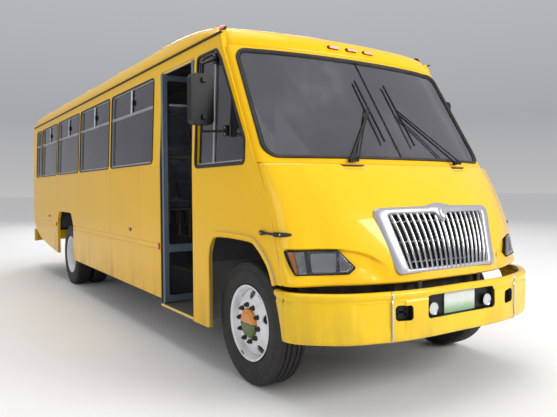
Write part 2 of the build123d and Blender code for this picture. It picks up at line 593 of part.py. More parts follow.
# ------------------------------------------------------------------ tilting nose
SHELL = 30.0
with BuildPart() as nose_room:
    nose(((860.0,) + NOSE[0][1:], (1380.0,) + NOSE[1][1:], NOSE[2]), -100, dy=SHELL, dx=SHELL)
with BuildPart() as hood:
    nose(NOSE, -150)
    add(nose_room.part, mode=Mode.SUBTRACT)
    # seam line towards the front side panels, 6 mm wide
    slab_x(((-1300, 800), (-631, 800), (-621, 872), (-631, 905), (-566, 1119), (-466, 1434), (-320, 1710), (-320, 1760), (-1300, 1760)),
           -1300, 1300, Mode.INTERSECT)
    # radiator opening
    slab_y(((-455, 950), (455, 950), (560, 1350), (-560, 1350)), -1100, -600, Mode.SUBTRACT, 30)
    # hinge arms down to the tilt axis
    for s in (-1, 1):
        box(s * 300, s * 340, HOOD_Y + 13, HOOD_Y + 62, 782, 873)
        box(s * 300, s * 340, -976, -945, 870, 940)
        disc_x(s * 300, s * 340, HOOD_Y, HOOD_Z, 24)
        disc_x(s * 290, s * 350, HOOD_Y, HOOD_Z, 10.5, Mode.SUBTRACT)
hood.part.label = "nose_shell"
export_step(hood.part, "parts/nose_shell.step")

# skins that follow the nose, cut to the outline of what is mounted on it
with BuildPart() as nose_skin:
    nose(NOSE, -100, dy=-1.0)
with BuildPart() as nose_deep:
    nose(NOSE, -100, dy=14)
with BuildPart() as bar_skin:
    nose(NOSE, -150, dy=-18)
    add(nose_deep.part, mode=Mode.SUBTRACT)
    slab_y(((-452, 952), (452, 952), (556, 1348), (-556, 1348)), -1100, -600, Mode.INTERSECT)
BARS = 8
with BuildPart() as bars:
    for i in range(-BARS, BARS + 1):
        t, wd = i / BARS, 20 if i == 0 else 11
        slab_y(((t * 420 - wd, 930), (t * 420 + wd, 930), (t * 515 + wd, 1370), (t * 515 - wd, 1370)), -1100, -600)
    add(bar_skin.part, mode=Mode.INTERSECT)
with BuildPart() as grille:
    nose(NOSE, -150, dy=-22)
    add(nose_skin.part, mode=Mode.SUBTRACT)
    slab_y(((-520, 910), (520, 910), (640, 1400), (-640, 1400)), -1100, -600, Mode.INTERSECT, 45)
    slab_y(((-452, 953), (452, 953), (555, 1347), (-555, 1347)), -1100, -600, Mode.SUBTRACT, 28)
    add(bars.part)
grille.part.label = "grille"
export_step(grille.part, "parts/grille.step")

with BuildPart() as head_skin:
    nose(NOSE, -150, dy=-14)
    add(nose_skin.part, mode=Mode.SUBTRACT)
with BuildPart() as heads:
    for s in (-1, 1):
        slab_y(((s * 1215, 965), (s * 1150, 945), (s * 850, 948), (s * 780, 985), (s * 880, 1108), (s * 1190, 1112)), -1100, -500,
               Mode.ADD, 12)
    add(head_skin.part, mode=Mode.INTERSECT)
heads.part.label = "headlamps"
export_step(heads.part, "parts/headlamps.step")

# rubber straps across the seam of the nose
with BuildPart() as strap_room:
    nose(NOSE, -100, dy=-1.0, dx=-6.0)
with BuildPart() as latches:
    nose(NOSE, -150, dy=-15, dx=-20)
    add(strap_room.part, mode=Mode.SUBTRACT)
    slab_x(((-655, 1205), (-340, 1205), (-340, 1243), (-655, 1243)), -1300, 1300, Mode.INTERSECT)
latches.part.label = "nose_latches"
export_step(latches.part, "parts/nose_latches.step")

# ------------------------------------------------------------------ bumpers, lamps, plates, mirrors, wipers
with BuildPart() as bumper_room:
    extrude(plan(BUMPER, -200, dy=50, dx=42, z=BUMP_LOW - 5), amount=BUMP_TOP - BUMP_LOW + 10)
with BuildPart() as bumper:
    extrude(plan(BUMPER, -300, z=BUMP_LOW), amount=BUMP_TOP - BUMP_LOW)
    add(bumper_room.part, mode=Mode.SUBTRACT)
    # ends slant with the wheel arch
    slab_x(((-1200, 450), (-640, 450), (-560, 700), (-500, 860), (-1200, 860)), -1300, 1300, Mode.INTERSECT)
    # centre recess for lamps and plate, and a slot on each side
    slab_y(((-330, 625), (330, 625), (330, 785), (-330, 785)), -1200, -1082, Mode.SUBTRACT, 20)
    for s in (-1, 1):
        slab_y(((s * 470, 640), (s * 590, 640), (s * 590, 725), (s * 470, 725)), -1200, -1000, Mode.SUBTRACT, 15)
bumper.part.label = "front_bumper"
export_step(bumper.part, "parts/front_bumper.step")

with BuildPart() as rbumper:
    with BuildSketch(Plane.XY.offset(520)):
        with BuildLine():
            Polyline((-1245, Y(8640)), (-1245, Y(8700)), (-1130, Y(REAR)), (1130, Y(REAR)), (1245, Y(8700)), (1245, Y(8640)),
                     (1190, Y(8640)), (1190, Y(8680)), (1105, Y(8770)), (-1105, Y(8770)), (-1190, Y(8680)), (-1190, Y(8640)), close=True)
        make_face()
    extrude(amount=240)
rbumper.part.label = "rear_bumper"
export_step(rbumper.part, "parts/rear_bumper.step")

with BuildPart() as lamps:
    # fog lamps in the bumper recess, three roof markers, side markers, tail lamps
    for s in (-1, 1):
        rod((s * 271, -1083, 683), (s * 271, -1112, 683), 42)
        box(s * 860, s * 1080, BODY_END + 1, BODY_END + 26, 1150, 1290)
        box(s * 860, s * 1080, BODY_END + 1, BODY_END + 26, 960, 1100)
lamps.part.label = "lamps"
export_step(lamps.part, "parts/lamps.step")

with BuildPart() as plates:
    box(-165, 165, -1090, -1083, 632, 782)
    box(-165, 165, BODY_END + 1, BODY_END + 8, 980, 1130)
plates.part.label = "number_plates"
export_step(plates.part, "parts/number_plates.step")

with BuildPart() as mirrors:
    with BuildSketch(Plane.XZ.offset(-Y(345))):
        with Locations((-1405, 2250), (1405, 2250)):
            RectangleRounded(195, 400, 40)
    extrude(amount=80)
    for s in (-1, 1):
        rod((s * 1400, 305, 2440), (s * 1400, 305, 2540), 10)
        rod((s * 1400, 305, 2532), (s * 1209, 380, 2612), 10)
        rod((s * 1400, 305, 2060), (s * 1400, 305, 1990), 10)
        rod((s * 1400, 305, 1998), (s * 1236, 160, 1998), 10)
mirrors.part.label = "mirrors"
export_step(mirrors.part, "parts/mirrors.step")

# wiper: spindle x, blade x, blade foot (y, z), blade head (y, z)
WIPERS = ((-560.0, -130.0, (-440.0, 1916.0), (-68.0, 2462.0)), (612.0, 200.0, (-450.0, 1892.0), (-75.0, 2447.0)))
with BuildPart() as wipers:
    for sx, bx, foot, head in WIPERS:
        mid = ((foot[0] + head[0]) / 2 - 8, (foot[1] + head[1]) / 2)
        rod((bx, foot[0] - 2, foot[1]), (bx, head[0] - 2, head[1]), 8)
        rod((sx, -546, 1748), (sx, -516, 1748), 16)
        rod((sx, -538, 1750), (bx, mid[0], mid[1]), 8)
        rod((sx + 70, -538, 1750), (bx, mid[0] + 25, mid[1] + 40), 6)
        box(sx, sx + 70, -545, -531, 1738, 1758)
wipers.part.label = "wipers"
export_step(wipers.part, "parts/wipers.step")

# ------------------------------------------------------------------ cab and saloon fittings
with BuildPart() as dash:
    slab_x(((-270, 1560), (-225, 1440), (-60, 1440), (-40, 1500), (-150, 1625), (-270, 1665)), -HW + WALL + 10, HW - WALL - 10)
    box(470, 780, -150, -60, 1500, 1600)
    rod((625, 60, 1743), (625, -100, 1466), 32, Mode.SUBTRACT)
dash.part.label = "dashboard"
export_step(dash.part, "parts/dashboard.step")

with BuildPart() as wheel_s:
    hub = Plane(origin=(625, Y(60), 1740), z_dir=(0, 0.5, 0.866))
    with BuildSketch(hub.offset(-12)):
        Circle(240)
        Circle(212, mode=Mode.SUBTRACT)
        Circle(55)
        Rectangle(440, 36)
        with Locations((0, -110)):
            Rectangle(36, 220)
    extrude(amount=24)
    rod((625, 55, 1735), (625, -95, 1475), 24)
wheel_s.part.label = "steering_wheel"
export_step(wheel_s.part, "parts/steering_wheel.step")

with BuildPart() as dseat:
    slab_x(((400, 1330), (400, 1420), (860, 1400), (960, 2080), (1040, 2080), (950, 1310)), 450, 890, Mode.ADD, 18)
    box(500, 820, 610, 860, FLOOR, 1330)
dseat.part.label = "driver_seat"
export_step(dseat.part, "parts/driver_seat.step")

# passenger benches: side, first row, rows; every bench is two places wide
PITCH = 740.0
ROWS = ((-1, 1900.0, 8), (1, 1450.0, 9))
with BuildPart() as seats:
    for s, first, n in ROWS:
        for i in range(n):
            y0 = first + i * PITCH
            x0, x1 = s * 330, s * (HW - WALL - 25)
            if abs(y0 + 250 - WB) < 900:
                x1 = s * 1180
            slab_x(((y0, 1330), (y0, 1400), (y0 + 400, 1385), (y0 + 520, 1905), (y0 + 575, 1905), (y0 + 490, 1310)), x0, x1, Mode.ADD, 14)
            box(s * 420, s * 460, y0 + 60, y0 + 420, FLOOR, 1335)
    # rear bench
    slab_x(((8080, 1330), (8080, 1400), (8480, 1385), (8590, 1905), (8640, 1905), (8560, 1310)), -HW + WALL + 30, HW - WALL - 30, Mode.ADD, 14)
    box(-900, 900, 8300, 8340, FLOOR, 1335)
seats.part.label = "passenger_seats"
export_step(seats.part, "parts/passenger_seats.step")

# grab rails: two along the ceiling, uprights at the door
with BuildPart() as grab:
    for s in (-1, 1):
        rod((s * 360, 1750, 2800), (s * 360, 7900, 2800), 16)
        for y0 in (1780, 3700, 5600, 7870):
            rod((s * 360, y0, 2800), (s * 360, y0, 3045), 12)
    for x0, y0, top in ((-430.0, 1720.0, 3040.0), (-450.0, 760.0, 2930.0)):
        rod((x0, y0, FLOOR), (x0, y0, top), 17)
grab.part.label = "grab_rails"
export_step(grab.part, "parts/grab_rails.step")

# ------------------------------------------------------------------ door leaves, standing open, square to the side
# leaf, hinge y
LEAVES = (("front_door_leaf", DOOR_F + HINGE_IN), ("rear_door_leaf", DOOR_R - HINGE_IN))
for name, hy in LEAVES:
    x0, x1 = -HINGE_X, -HINGE_X + LEAF
    with BuildPart() as leaf:
        box(x0, x1, hy - LEAF_T / 2, hy + LEAF_T / 2, DOOR_LOW, DOOR_TOP)
        for z0, z1 in ((DOOR_LOW + 75, 900.0), (985.0, DOOR_TOP - 60)):
            box(x0 + 45, x1 - 45, hy - LEAF_T, hy + LEAF_T, z0, z1, Mode.SUBTRACT)
        # pivot tube along the hinge axis
        rod((x0, hy, DOOR_LOW), (x0, hy, DOOR_TOP), 17)
        rod((x0, hy, DOOR_LOW - 1), (x0, hy, DOOR_TOP + 1), 8, Mode.SUBTRACT)
    leaf.part.label = name
    export_step(leaf.part, f"parts/{name}.step")
    with BuildPart() as lg:
        for z0, z1 in ((DOOR_LOW + 76, 899.0), (986.0, DOOR_TOP - 61)):
            box(x0 + 46, x1 - 46, hy - 3, hy + 3, z0, z1)
    gname = name.replace("leaf", "glass")
    lg.part.label = gname
    export_step(lg.part, f"parts/{gname}.step")
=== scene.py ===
import bpy, bmesh
import numpy as np
from math import sin, cos, tan, atan2, radians, degrees, pi, sqrt, hypot
from mathutils import Matrix, Vector


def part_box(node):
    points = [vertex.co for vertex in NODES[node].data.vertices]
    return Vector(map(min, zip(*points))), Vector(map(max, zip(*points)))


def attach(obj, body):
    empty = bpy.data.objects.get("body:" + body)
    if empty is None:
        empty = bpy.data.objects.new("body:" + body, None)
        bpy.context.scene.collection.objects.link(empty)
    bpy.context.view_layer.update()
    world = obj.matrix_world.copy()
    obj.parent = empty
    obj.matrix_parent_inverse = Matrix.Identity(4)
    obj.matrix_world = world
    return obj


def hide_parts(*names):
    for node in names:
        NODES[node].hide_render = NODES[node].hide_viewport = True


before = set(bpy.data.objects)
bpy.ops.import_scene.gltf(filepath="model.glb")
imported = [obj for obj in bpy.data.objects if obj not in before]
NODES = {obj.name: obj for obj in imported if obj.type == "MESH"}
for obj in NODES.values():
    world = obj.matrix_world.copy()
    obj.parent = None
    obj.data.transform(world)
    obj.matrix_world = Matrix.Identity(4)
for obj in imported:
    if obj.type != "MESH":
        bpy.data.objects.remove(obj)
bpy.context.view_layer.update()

# Stations below are in millimetres behind the front axle, as in the construction; YA puts them in the shared frame.
YA = 3855.0


def W(p):
    return (p[0] / 1000.0, (p[1] - YA) / 1000.0, p[2] / 1000.0)


# ---------------------------------------------------------------- camera, at the photograph's viewing angle
def look(yaw, pitch, roll):
    y, p, r = radians(yaw), radians(pitch), radians(roll)
    d = Vector((sin(y) * cos(p), cos(y) * cos(p), sin(p)))
    right = d.cross(Vector((0, 0, 1))).normalized()
    up = right.cross(d)
    right2 = right * cos(r) + up * sin(r)
    up2 = up * cos(r) - right * sin(r)
    return right2, up2, d


cam_data = bpy.data.cameras.new("camera")
cam = bpy.data.objects.new("camera", cam_data)
bpy.context.scene.collection.objects.link(cam)
cam_data.sensor_width = 36.0
cam_data.lens = 565.2 * 36.0 / 557.0
cam_data.clip_start, cam_data.clip_end = 0.05, 400.0
rgt, upv, fwd = look(32.93, -1.87, -0.38)
cam.matrix_world = Matrix((
    (rgt.x, upv.x, -fwd.x, -3.348), (rgt.y, upv.y, -fwd.y, -7.680), (rgt.z, upv.z, -fwd.z, 1.527), (0, 0, 0, 1)))
bpy.context.scene.camera = cam


# ---------------------------------------------------------------- materials
class Mat:
    """a small builder for node materials"""

    def __init__(self, name):
        self.m = bpy.data.materials.new(name)
        self.m.use_nodes = True
        self.t = self.m.node_tree
        self.t.nodes.clear()
        self.out = self.n("ShaderNodeOutputMaterial")
        self.co = self.n("ShaderNodeTexCoord").outputs["Object"]

    def n(self, kind, **kw):
        node = self.t.nodes.new(kind)
        for k, v in kw.items():
            setattr(node, k, v)
        return node

    def link(self, a, b):
        self.t.links.new(a, b)

    def put(self, sock, v):
        if isinstance(v, bpy.types.NodeSocket):
            self.link(v, sock)
        elif isinstance(v, (tuple, list)) and len(v) == 3 and sock.type == "RGBA":
            sock.default_value = (*v, 1.0)
        else:
            sock.default_value = v

    def math(self, op, a, b=0.0, c=None, clamp=False):
        n = self.n("ShaderNodeMath", operation=op, use_clamp=clamp)
        self.put(n.inputs[0], a)
        self.put(n.inputs[1], b)
        if c is not None:
            self.put(n.inputs[2], c)
        return n.outputs[0]

    def vmath(self, op, a, b):
        n = self.n("ShaderNodeVectorMath", operation=op)
        self.put(n.inputs[0], a)
        self.put(n.inputs[1], b)
        return n.outputs["Value"] if op == "DOT_PRODUCT" else n.outputs[0]

    def xyz(self):
        s = self.n("ShaderNodeSeparateXYZ")
        self.link(self.co, s.inputs[0])
        return s.outputs

    def noise(self, scale, detail=4.0, rough=0.55, stretch=None, warp=0.0):
        n = self.n("ShaderNodeTexNoise")
        n.inputs["Scale"].default_value = scale
        n.inputs["Detail"].default_value = detail
        n.inputs["Roughness"].default_value = rough
        n.inputs["Distortion"].default_value = warp
        src = self.co
        if stretch:
            mp = self.n("ShaderNodeMapping")
            mp.inputs["Scale"].default_value = stretch
            self.link(self.co, mp.inputs["Vector"])
            src = mp.outputs[0]
        self.link(src, n.inputs["Vector"])
        return n.outputs["Fac"]

    def voronoi(self, scale, feature="F1", out="Distance"):
        n = self.n("ShaderNodeTexVoronoi", feature=feature)
        n.inputs["Scale"].default_value = scale
        self.link(self.co, n.inputs["Vector"])
        return n.outputs[out]

    def ramp(self, fac, lo, hi, a=0.0, b=1.0, smooth=True):
        n = self.n("ShaderNodeMapRange", interpolation_type="SMOOTHSTEP" if smooth else "LINEAR")
        n.clamp = True
        self.put(n.inputs["Value"], fac)
        n.inputs["From Min"].default_value, n.inputs["From Max"].default_value = lo, hi
        n.inputs["To Min"].default_value, n.inputs["To Max"].default_value = a, b
        return n.outputs[0]

    def mix(self, fac, a, b):
        n = self.n("ShaderNodeMix", data_type="RGBA")
        self.put(n.inputs["Factor"], fac)
        self.put(n.inputs["A"] if False else n.inputs[6], a)
        self.put(n.inputs[7], b)
        return n.outputs[2]

    def bump(self, height, strength=0.3, dist=0.001, normal=None):
        n = self.n("ShaderNodeBump")
        n.inputs["Strength"].default_value = strength
        n.inputs["Distance"].default_value = dist
        self.link(height, n.inputs["Height"])
        if normal is not None:
            self.link(normal, n.inputs["Normal"])
        return n.outputs[0]

    def soft_edge(self, r):
        n = self.n("ShaderNodeBevel", samples=4)
        n.inputs["Radius"].default_value = r
        return n.outputs[0]

    def bsdf(self, **kw):
        n = self.n("ShaderNodeBsdfPrincipled")
        for k, v in kw.items():
            self.put(n.inputs[k.replace("_", " ")], v)
        return n

    def done(self, shader):
        self.link(shader if isinstance(shader, bpy.types.NodeSocket) else shader.outputs[0], self.out.inputs["Surface"])
        return self.m


def scl(c, k):
    return tuple(min(1.0, x * k) for x in c)


def coach_paint(name, col, rough=0.3, coat=1.0, tone=0.05, dust=0.35, edge=0.003, inner=None, peel=0.03,
                dust_col=(0.20, 0.135, 0.055), seams=None):
    """gloss coach paint: slow tone variation, dust thrown up along the lower body, orange peel, rounded edges"""
    m = Mat(name)
    x, y, z = m.xyz()
    c = m.mix(m.noise(0.9, 5.0, 0.6), scl(col, 1 - tone), scl(col, 1 + tone))
    streak = m.noise(5.0, 6.0, 0.65, stretch=(1.0, 1.0, 0.18))
    low = m.ramp(z, 0.30, 1.25, 1.0, 0.0)
    grime = m.math("MULTIPLY", m.math("MULTIPLY", low, low), m.ramp(streak, 0.36, 0.7))
    grime = m.math("MULTIPLY", grime, dust, clamp=True)
    c = m.mix(grime, c, dust_col)
    fine = m.noise(46.0, 4.0, 0.6)
    speck = m.math("MULTIPLY", m.ramp(m.voronoi(33.0), 0.0, 0.10, 1.0, 0.0), m.ramp(fine, 0.62, 0.7))
    c = m.mix(m.math("MULTIPLY", speck, 0.18 * (dust > 0)), c, scl(col, 0.55))
    r = m.math("ADD", m.math("MULTIPLY", fine, 0.10), rough - 0.05)
    r = m.math("ADD", r, m.math("MULTIPLY", grime, 0.35))
    nrm = m.soft_edge(edge) if edge else None
    h = m.noise(210.0, 2.0, 0.5)
    nb = m.bump(h, peel, 0.0006, nrm)
    if seams:
        # narrow panel gaps at fixed stations, sunk and dark
        g = None
        for st, half in seams:
            d = m.math("ABSOLUTE", m.math("SUBTRACT", y, (st - YA) / 1000.0))
            one = m.ramp(d, half / 1000.0 * 0.6, half / 1000.0, 1.0, 0.0)
            g = one if g is None else m.math("MAXIMUM", g, one)
        c = m.mix(m.math("MULTIPLY", g, 0.8), c, (0.05, 0.03, 0.01))
        nb = m.bump(m.math("SUBTRACT", 1.0, g), 0.6, 0.002, nb)
    b = m.bsdf(Base_Color=c, Roughness=r, Normal=nb)
    b.inputs["Coat Weight"].default_value = coat
    b.inputs["Coat Roughness"].default_value = 0.06
    b.inputs["Coat IOR"].default_value = 1.38
    b.inputs["Specular IOR Level"].default_value = 0.16
    if inner is None:
        return m.done(b)
    # the inner skin of the same panel is lined
    geo = m.n("ShaderNodeNewGeometry")
    away = m.n("ShaderNodeCombineXYZ")
    m.put(away.inputs[0], x)
    m.put(away.inputs[2], m.math("SUBTRACT", z, 1.7))
    face = m.vmath("DOT_PRODUCT", geo.outputs["True Normal"], away.outputs[0])
    side = m.ramp(face, -0.12, -0.10, 1.0, 0.0)
    weave = m.voronoi(900.0)
    li = m.mix(m.noise(3.0, 5.0), scl(inner, 0.86), scl(inner, 1.08))
    b2 = m.bsdf(Base_Color=li, Roughness=0.72, Normal=m.bump(weave, 0.25, 0.0008))
    mx = m.n("ShaderNodeMixShader")
    m.put(mx.inputs[0], side)
    m.link(b.outputs[0], mx.inputs[1])
    m.link(b2.outputs[0], mx.inputs[2])
    return m.done(mx)


def solid(name, col, rough=0.5, metal=0.0, coat=0.0, tone=0.12, scale=6.0, grain=120.0, grain_k=0.2, depth=0.0006,
          dust=0.0, dust_col=(0.30, 0.25, 0.18), edge=0.0015, cells=False, aniso=None, spec=0.5, rvar=0.16, sheen=0.0):
    """moulded, cast, painted or plated surface: tone variation, dust in the low places, grain in the bump"""
    m = Mat(name)
    x, y, z = m.xyz()
    c = m.mix(m.noise(scale, 6.0, 0.62), scl(col, 1 - tone), scl(col, 1 + tone))
    r = m.math("ADD", m.math("MULTIPLY", m.noise(scale * 4.5, 5.0, 0.6), rvar), rough - rvar / 2)
    if dust:
        g = m.math("MULTIPLY", m.ramp(m.noise(7.0, 7.0, 0.7), 0.40, 0.72), dust)
        c = m.mix(g, c, dust_col)
        r = m.math("ADD", r, m.math("MULTIPLY", g, 0.4), clamp=True)
    h = m.voronoi(grain) if cells else m.noise(grain, 3.0, 0.6, stretch=aniso)
    nb = m.bump(h, grain_k, depth, m.soft_edge(edge) if edge else None)
    b = m.bsdf(Base_Color=c, Roughness=r, Normal=nb)
    b.inputs["Metallic"].default_value = metal
    b.inputs["Coat Weight"].default_value = coat
    b.inputs["Coat Roughness"].default_value = 0.08
    b.inputs["Specular IOR Level"].default_value = spec
    b.inputs["Sheen Weight"].default_value = sheen
    return m.done(b)


def pane(name, tint, film=0.10, haze=(0.55, 0.54, 0.60), rough=0.02, haze_k=0.25, ior=1.5, dusty=0.12):
    """thin glass: what is behind shows, tinted, under a mirror that grows towards grazing and a light film of dust"""
    m = Mat(name)
    tr = m.n("ShaderNodeBsdfTransparent")
    dirt = m.noise(2.2, 7.0, 0.65, stretch=(1.0, 1.0, 0.5))
    m.put(tr.inputs["Color"], m.mix(dirt, scl(tint, 0.93), scl(tint, 1.04)))
    gl = m.bsdf(Base_Color=m.mix(m.noise(1.4, 4.0), scl(haze, 0.85), haze), Normal=m.bump(m.noise(1.1, 2.0), 0.05, 0.01))
    m.put(gl.inputs["Roughness"], m.math("ADD", m.math("MULTIPLY", dirt, 0.05), rough))
    gl.inputs["Metallic"].default_value = 1.0
    fr = m.n("ShaderNodeFresnel")
    fr.inputs["IOR"].default_value = ior
    k = m.math("ADD", m.math("MULTIPLY", fr.outputs[0], 1.35), film, clamp=True)
    dust = m.bsdf(Base_Color=m.mix(dirt, scl(haze, 0.6), haze), Roughness=0.6)
    one = m.n("ShaderNodeMixShader")
    m.put(one.inputs[0], m.ramp(dirt, 0.45, 0.85, dusty * 0.35, dusty))
    m.link(tr.outputs[0], one.inputs[1])
    m.link(dust.outputs[0], one.inputs[2])
    two = m.n("ShaderNodeMixShader")
    m.put(two.inputs[0], k)
    m.link(one.outputs[0], two.inputs[1])
    m.link(gl.outputs[0], two.inputs[2])
    return m.done(two)


def lens(name, col, flute=90.0, rough=0.12, axis=0):
    """moulded lamp lens: coloured, glossy, with fine ribs"""
    m = Mat(name)
    w = m.n("ShaderNodeTexWave", wave_type="BANDS", bands_direction="XYZ"[axis])
    w.inputs["Scale"].default_value = flute
    w.inputs["Distortion"].default_value = 0.15
    m.link(m.co, w.inputs["Vector"])
    c = m.mix(w.outputs["Fac"], scl(col, 0.75), scl(col, 1.12))
    c = m.mix(m.math("MULTIPLY", m.noise(30.0, 5.0), 0.25), c, scl(col, 0.5))
    b = m.bsdf(Base_Color=c, Roughness=m.math("ADD", m.math("MULTIPLY", m.noise(60.0), 0.08), rough),
               Normal=m.bump(w.outputs["Fac"], 0.5, 0.002))
    b.inputs["Coat Weight"].default_value = 1.0
    b.inputs["Coat Roughness"].default_value = 0.04
    # faint glow in the lens colour; on the rub rail caps, which are no lamps, it is painted light
    b.inputs["Emission Color"].default_value = (*col, 1.0)
    b.inputs["Emission Strength"].default_value = 0.12
    return m.done(b)


YEL = (0.93, 0.535, 0.004)
M = {}
M["paint"] = coach_paint("body_yellow", YEL, coat=0.28, inner=(0.55, 0.55, 0.52))
M["panel"] = coach_paint("panel_yellow", scl(YEL, 0.95), coat=0.28, inner=(0.42, 0.43, 0.43), dust=0.5,
                         seams=((3331.0, 2.5), (6401.0, 2.5), (7796.0, 2.5), (2240.0, 2.0), (4891.0, 2.0)))
M["nose"] = coach_paint("nose_yellow", (0.95, 0.56, 0.004), dust=0.25, edge=0)
M["bumper"] = coach_paint("bumper_yellow", (0.88, 0.56, 0.008), rough=0.36, coat=0.7, dust=0.4, edge=0.002)
M["black"] = solid("black_plastic", (0.007, 0.007, 0.008), 0.36, grain=260.0, grain_k=0.3, dust=0.03, spec=0.22, dust_col=(0.10, 0.09, 0.08))
M["rubber"] = solid("black_rubber", (0.010, 0.010, 0.011), 0.62, grain=180.0, grain_k=0.25, dust=0.10)
M["chassis"] = solid("chassis_black", (0.016, 0.016, 0.017), 0.48, dust=0.55, grain=90.0, dust_col=(0.16, 0.12, 0.085))
M["engine"] = solid("engine_iron", (0.10, 0.105, 0.11), 0.6, metal=0.4, dust=0.5, grain=160.0, grain_k=0.5)
M["exhaust"] = solid("exhaust_steel", (0.23, 0.17, 0.13), 0.5, metal=0.8, tone=0.35, scale=9.0, dust=0.3)
M["trim"] = solid("cab_trim", (0.055, 0.056, 0.06), 0.62, grain=700.0, grain_k=0.5, cells=True, dust=0.08)
M["liner"] = solid("grey_liner", (0.36, 0.37, 0.37), 0.6, grain=500.0, grain_k=0.3, cells=True, tone=0.06)
M["alu"] = solid("window_aluminium", (0.50, 0.51, 0.53), 0.34, metal=0.85, grain=380.0, aniso=(1.0, 0.05, 1.0), grain_k=0.25,
                 dust=0.12, tone=0.08)
M["alu_dark"] = solid("dark_aluminium", (0.16, 0.165, 0.18), 0.38, metal=0.8, grain=380.0, aniso=(1.0, 0.05, 1.0), dust=0.1)
M["doorframe"] = solid("door_frame_grey", (0.150, 0.205, 0.265), 0.36, metal=0.35, grain=300.0, aniso=(1.0, 1.0, 0.06), dust=0.12, tone=0.10)
M["glass"] = pane("window_glass", (0.40, 0.41, 0.43), film=0.14)
M["screen"] = pane("windscreen_glass", (0.62, 0.65, 0.67), film=0.17, haze=(0.66, 0.65, 0.72), dusty=0.16)
M["doorglass"] = pane("door_glass", (0.72, 0.74, 0.76), film=0.05, dusty=0.06)
M["clear"] = pane("lamp_clear", (0.93, 0.94, 0.94), film=0.04, dusty=0.03)
M["amber"] = lens("amber_lens", (0.86, 0.26, 0.006))
M["orange"] = lens("orange_lens", (0.80, 0.12, 0.006))
M["red"] = lens("red_lens", (0.55, 0.012, 0.008))
M["smoke"] = lens("turn_lens", (0.46, 0.46, 0.47), flute=120.0)
M["chrome"] = solid("bright_chrome", (0.60, 0.61, 0.64), 0.13, metal=1.0, tone=0.04, grain=60.0, grain_k=0.05, rvar=0.06, dust=0.06)
M["silver"] = solid("silver_moulding", (0.42, 0.42, 0.46), 0.33, metal=0.45, tone=0.04, grain=260.0, grain_k=0.02, coat=0.35, dust=0.03)
M["steel"] = solid("bright_steel", (0.56, 0.56, 0.56), 0.30, metal=1.0, tone=0.12, scale=14.0, grain=160.0, dust=0.18)
M["rust"] = solid("dark_steel", (0.045, 0.036, 0.032), 0.5, metal=0.5, tone=0.3, scale=20.0, dust=0.3, dust_col=(0.14, 0.07, 0.03))
M["rail"] = solid("yellow_rail", (0.86, 0.50, 0.01), 0.32, coat=0.8, tone=0.07, scale=3.0, grain=200.0, grain_k=0.08)
M["vinyl"] = solid("seat_vinyl", (0.060, 0.078, 0.115), 0.5, grain=420.0, grain_k=0.7, cells=True, tone=0.14, spec=0.4)
M["vinyl2"] = solid("seat_vinyl_panel", (0.10, 0.11, 0.125), 0.6, grain=900.0, grain_k=0.8, cells=True, tone=0.16, sheen=0.15)
M["shell"] = solid("seat_shell", (0.20, 0.21, 0.22), 0.45, grain=300.0, grain_k=0.2, tone=0.08)
M["mirror"] = solid("mirror_glass", (0.80, 0.82, 0.86), 0.03, metal=1.0, tone=0.03, grain=3.0, grain_k=0.02, rvar=0.02, edge=0)


def tyre_mat():
    m = Mat("tyre_rubber")
    x, y, z = m.xyz()
    c = m.mix(m.noise(5.0, 6.0, 0.65), (0.008, 0.008, 0.0085), (0.020, 0.019, 0.018))
    dust = m.ramp(m.noise(11.0, 7.0, 0.7), 0.42, 0.75, 0.0, 0.22)
    c = m.mix(dust, c, (0.085, 0.075, 0.062))
    r = m.math("ADD", m.math("MULTIPLY", m.noise(30.0, 5.0), 0.22), 0.55)
    nb = m.bump(m.noise(320.0, 4.0, 0.7), 0.35, 0.0009, m.soft_edge(0.0015))
    return m.done(m.bsdf(Base_Color=c, Roughness=r, Normal=nb))


M["tyre"] = tyre_mat()


def wheel_mat(name, col):
    m = Mat(name)
    x, y, z = m.xyz()
    c = m.mix(m.noise(4.0, 5.0, 0.6), scl(col, 0.90), scl(col, 1.06))
    g = m.math("MULTIPLY", m.ramp(m.noise(13.0, 7.0, 0.72), 0.44, 0.74), 0.30)
    c = m.mix(g, c, (0.34, 0.33, 0.28))
    # greenish tint towards the bottom of the wheel: painted reflection of grass
    low = m.ramp(z, 0.22, 0.42, 0.22, 0.0)
    c = m.mix(m.math("MULTIPLY", low, m.ramp(m.noise(9.0, 5.0), 0.3, 0.7)), c, (0.28, 0.33, 0.24))
    r = m.math("ADD", m.math("MULTIPLY", m.noise(26.0, 4.0), 0.18), 0.28)
    b = m.bsdf(Base_Color=c, Roughness=r, Normal=m.bump(m.noise(170.0, 3.0), 0.10, 0.0006, m.soft_edge(0.002)))
    b.inputs["Coat Weight"].default_value = 0.4
    return m.done(b)


M["wheel"] = wheel_mat("wheel_white", (0.80, 0.81, 0.84))


def hub_mat():
    """hub cap: orange enamel above, green below as a painted reflection of grass, with a dark line where the two meet
    """
    m = Mat("hub_cap_painted_grass_reflection")
    x, y, z = m.xyz()
    edge = m.math("ADD", z, m.math("MULTIPLY", m.noise(24.0, 5.0), 0.02))
    f = m.ramp(edge, 0.487, 0.503)
    # green lower half: painted reflection of grass, not enamel
    low = m.mix(m.noise(40.0, 6.0), (0.045, 0.095, 0.012), (0.13, 0.19, 0.03))
    up = m.mix(m.noise(30.0, 6.0), (0.55, 0.19, 0.02), (0.86, 0.36, 0.06))
    c = m.mix(f, low, up)
    # dark line along the edge of the painted grass reflection
    line = m.ramp(m.math("ABSOLUTE", m.math("SUBTRACT", edge, 0.495)), 0.002, 0.007, 1.0, 0.0)
    c = m.mix(line, c, (0.02, 0.018, 0.012))
    b = m.bsdf(Base_Color=c, Roughness=m.math("ADD", m.math("MULTIPLY", m.noise(50.0), 0.2), 0.3),
               Normal=m.bump(m.noise(110.0, 5.0), 0.4, 0.001, m.soft_edge(0.003)))
    b.inputs["Coat Weight"].default_value = 0.5
    return m.done(b)


M["hub"] = hub_mat()


